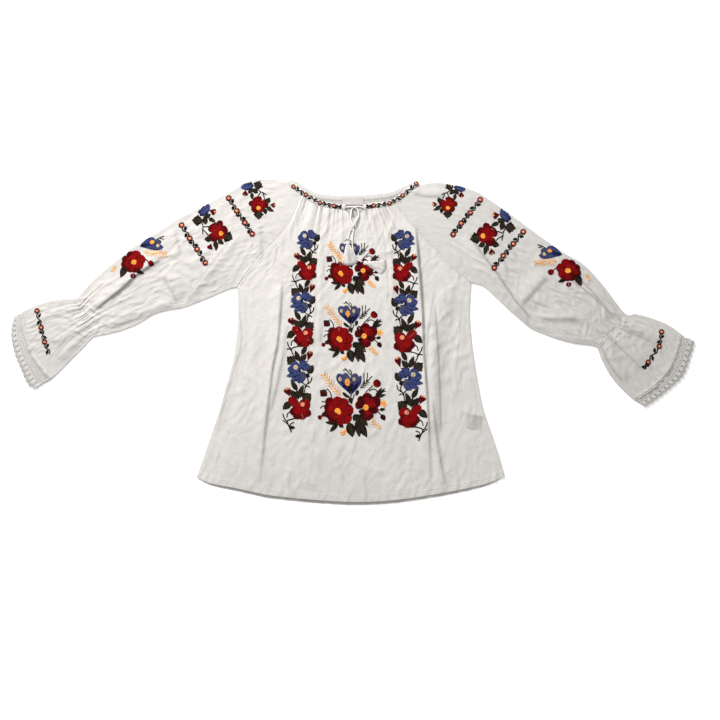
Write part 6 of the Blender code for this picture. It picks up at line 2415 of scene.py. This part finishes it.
@dataclass
class Studio:
    """The camera straight above, the pale floor and the soft light from the upper left.

    Attributes:
        centre: The plan point in the middle of the picture.
        width: How much of the floor the picture shows.
        distance: Height of the camera.
        sensor: Width of its sensor, in millimetres.
    """

    centre: Point = (0.015, -0.037)
    width: float = 1.44
    distance: float = 3.4
    sensor: float = 36.0

    def camera(self) -> None:
        """Hangs the camera over the blouse, looking straight down."""
        data = bpy.data.cameras.new("overhead")
        data.sensor_width = self.sensor
        data.lens = self.sensor * self.distance / self.width
        data.clip_start, data.clip_end = 0.1, 50
        camera = bpy.data.objects.new("overhead", data)
        camera.location = (*self.centre, self.distance)
        bpy.context.scene.collection.objects.link(camera)
        bpy.context.scene.camera = camera

    def floor(self) -> None:
        """Lays the pale floor."""
        half = 6.0
        verts = np.array([(-half, -half, -0.0002), (half, -half, -0.0002), (half, half, -0.0002),
                          (-half, half, -0.0002)])
        mesh_object("floor", verts, [(0, 1, 2, 3)], FloorFinish().material())

    def lamp(self, name: str, place: tuple[float, float, float], size: float, power: float,
             colour: tuple[float, float, float]) -> None:
        """Hangs a square soft lamp that points at the blouse.

        Args:
            name: Its name.
            place: Where it hangs.
            size: Its side.
            power: Its power in watts.
            colour: The colour of its light.
        """
        data = bpy.data.lights.new(name, "AREA")
        data.size, data.energy, data.color = size, power, colour
        lamp = bpy.data.objects.new(name, data)
        lamp.location = place
        lamp.rotation_euler = (Vector((*self.centre, 0)) - Vector(place)).to_track_quat("-Z", "Y").to_euler()
        bpy.context.scene.collection.objects.link(lamp)

    def light(self) -> None:
        """A lamp at the upper left, a weaker one overhead, and a pale room."""
        self.lamp("window", (-0.80, 1.5, 1.1), 0.45, 57.0, (1.0, 0.985, 0.965))
        self.lamp("ceiling", (-0.3, 0.2, 3.0), 2.4, 26.0, (1.0, 0.99, 0.98))
        world = bpy.data.worlds.new("pale_room")
        world.use_nodes = True
        world.node_tree.nodes["Background"].inputs["Color"].default_value = (0.98, 0.99, 1.0, 1)
        world.node_tree.nodes["Background"].inputs["Strength"].default_value = 0.63
        bpy.context.scene.world = world
        bpy.context.scene.view_settings.view_transform = "Standard"

    def build(self) -> None:
        """Sets up the whole studio."""
        self.camera()
        self.floor()
        self.light()


# The blouse

SEAM_PITCH = 0.0027  # machine stitches, from the start of one to the next
SEAM_STITCH = (0.0022, 0.00075, 0.00042)  # their length, width and height


@dataclass
class Blouse:
    """Everything that is dressed on the frame, built in the order in which it lies."""

    trees: Trees = field(default_factory=Trees)

    def __post_init__(self) -> None:
        """Makes the finishes and the patterns of a stitch and a loop."""
        self.cotton = CottonFinish("white_cotton", (0.500, 0.481, 0.460), (0.452, 0.433, 0.411)).material()
        # Painted shade: a darker copy of the same cotton, for the dimmer light on the sleeves and the back
        # casing.
        self.sleeve = CottonFinish("sleeve_cotton", (0.462, 0.444, 0.425), (0.408, 0.391, 0.372)).material()
        # Painted shade: a still darker copy of the same cotton, for the back panel seen inside the neck and
        # below the hem.
        self.inside = CottonFinish("shaded_cotton", (0.375, 0.357, 0.340), (0.330, 0.314, 0.299)).material()
        self.crochet = ThreadFinish("lace_cotton", (0.53, 0.51, 0.49), 0.8, 0.0014).material()
        self.cord = ThreadFinish("cord_cotton", (0.63, 0.61, 0.58), 0.7, 0.0012).material()
        self.label = LabelFinish("woven_label", (0.42, 0.39, 0.40)).material()
        self.floss = ThreadFinish("embroidery_floss", None, 0.55, 0.0009).material()
        self.stitch = stitch_pattern("stitch_pattern")
        self.loop = loop_pattern("loop_pattern")

    def keep(self, piece: bpy.types.Object, slot: str, *nodes: str) -> bpy.types.Object:
        """Lets a piece ride on the blouse and stand for its solids."""
        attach(piece, "root")
        if nodes:
            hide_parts(*nodes)
        LOG.info("%s: %d faces", piece.name, len(piece.data.polygons))
        return piece

    def build(self) -> None:
        """Builds every piece."""
        # The back panel takes the darkest copy of the cotton, painted shade.
        back = self.keep(BodyPanel(Layer.LOWER, 96, 50, 24, 0.0010).build(self.inside), "white_cotton",
                         "back_panel")
        front = self.keep(mark_creases(BodyPanel(Layer.UPPER, 200, 84, 66, 0.0008).build(self.cotton)),
                          "white_cotton", "front_panel")
        # The sleeves take the darker copy of the cotton, painted shade.
        sleeves = {
            side: self.keep(mark_creases(Sleeve(side).build(self.sleeve)), "white_cotton",
                            f"sleeve_{side.word}")
            for side in Side
        }
        casings = {
            side: self.keep(Casing(f"cotton_casing_{side.word}", FRONT_NECK[side], 0.0028, 120, 22,
                                   FRONT_NECK[side][0 if side is Side.LEFT else -1][0]).build(self.cotton),
                            "white_cotton", f"neck_casing_{side.word}")
            for side in Side
        }
        # The back casing takes the same darker copy, painted shade inside the neck.
        back_casing = self.keep(Casing("cotton_casing_back", BACK_NECK, 0.0016, 180, 40).build(self.sleeve),
                                "white_cotton", "neck_casing_back")
        neck_label = self.keep(NeckLabel().build(self.label), "woven_label", "neck_label")
        for obj in frame_objects("side_label"):
            obj.data.materials.clear()
            obj.data.materials.append(self.label)
        for side in Side:
            for level, floor in (("lower", 0.0), ("upper", 0.0017)):
                cuff = Surface([sleeves[side]]) if level == "upper" else None
                piece = Lace(side, level, floor, cuff).build(self.trees, self.loop, self.crochet)
                self.keep(piece, "lace_cotton", f"lace_{side.word}_{level}")

        below = [back, front, neck_label]
        cords = {}
        for side in (Side.RIGHT, Side.LEFT):
            cords[side] = Drawstring(side)
            piece = cords[side].build(Surface(below), self.cord)
            below.append(self.keep(piece, "cord_cotton", f"drawstring_{side.word}"))
        for tassel in (
            Tassel(Side.LEFT, -0.0100, 0.2010, math.radians(-84), 0.050, math.radians(20), seed=5),
            Tassel(Side.RIGHT, 0.0222, 0.1575, math.radians(-13), 0.046, math.radians(19), seed=8),
        ):
            piece = tassel.build(self.trees, Surface(below), self.cord)
            self.keep(piece, "cord_cotton", f"tassel_{tassel.side.word}")
            below.append(piece)

        cloth = Surface([back, front, *sleeves.values(), *casings.values(), back_casing])
        threads = self.embroider(cloth)
        for panel, piece in self.sew(cloth).items():
            threads[panel].append(piece)
        for pattern in (self.stitch, self.loop):
            bpy.data.objects.remove(pattern)

    def embroider(self, cloth: Surface) -> dict[str, list[bpy.types.Object]]:
        """Works the embroidery.

        Args:
            cloth: What it is sewn on.

        Returns:
            The pieces, by the sheet that they are on.
        """
        made: dict[str, list[bpy.types.Object]] = {}
        for number, (name, (panel, motifs, chains)) in enumerate(EMBROIDERY.items()):
            needle = Needle(cloth, NEEDLE_SEED + number)
            for motif, spot in motifs:
                for shape in motif:
                    shape.work(needle, spot)
            for chain in chains:
                chain.work(needle)
            piece = needle.work.piece(f"embroidery_{name}", self.trees, self.stitch, self.floss,
                                      coloured=True)
            made.setdefault(panel, []).append(self.keep(piece, ""))
        return made

    def sew(self, cloth: Surface) -> dict[str, bpy.types.Object]:
        """Works the machine stitches along seams, hems, casings and elastic.

        Args:
            cloth: What they are sewn on.

        Returns:
            A piece for each panel.
        """
        middle = (CASING_WIDTH / 2 - 0.0013) * np.array([-1, 1])
        ends = {side: neck_edges(side, Layer.UPPER)[1][-1] for side in Side}
        foot = np.array(SLIT_TIP) - (0, 0.003)
        rows = {
            "front": [
                even_steps(hem_line(Layer.UPPER), 170)[2:-2] + np.array([0, 0.0108]),
                *(offset(raglan_seam(side, Layer.UPPER, 90), 0.0034 * side.way)[3:] for side in Side),
                *(even_steps(np.array([ends[side] + (0.0022 * side.way, 0), foot]), 8) for side in Side),
                *(offset(even_steps(catmull_rom(line), 120), gap)
                  for line in (*FRONT_NECK.values(), BACK_NECK) for gap in middle),
            ],
            **{side.word: [
                *Sleeve(side).rows_across(1.0, [Sleeve.cuff_hem - 0.0012]),
                *Sleeve(side).rows_across(CINCH_ROW / (len(SLEEVE[side]) - 1), [-0.004, 0.0, 0.004]),
            ] for side in Side},
        }
        made = {}
        for panel, lines in rows.items():
            laid = [np.column_stack([line, cloth.over(line) + 0.00012]) for line in lines]
            guide = line_guide(f"seams_{panel}", [line[line[:, 2] > BACK_TOP] for line in laid])
            piece = grow(f"sewing_{panel}", guide, self.trees.row, {
                "Stitch": self.stitch, "Pitch": SEAM_PITCH, "Size": SEAM_STITCH, "Finish": self.cord})
            made[panel] = self.keep(piece, "cord_cotton")
        return made


def frame_objects(node: str) -> list[bpy.types.Object]:
    """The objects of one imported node."""
    return [obj for obj in bpy.data.objects if obj.get("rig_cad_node") == node or obj.name == node]


def main() -> None:
    """Dresses the frame and reports every piece."""
    logging.basicConfig(level=logging.INFO, format="%(message)s")
    Studio().build()
    Blouse().build()


if __name__ == "__main__":
    main()
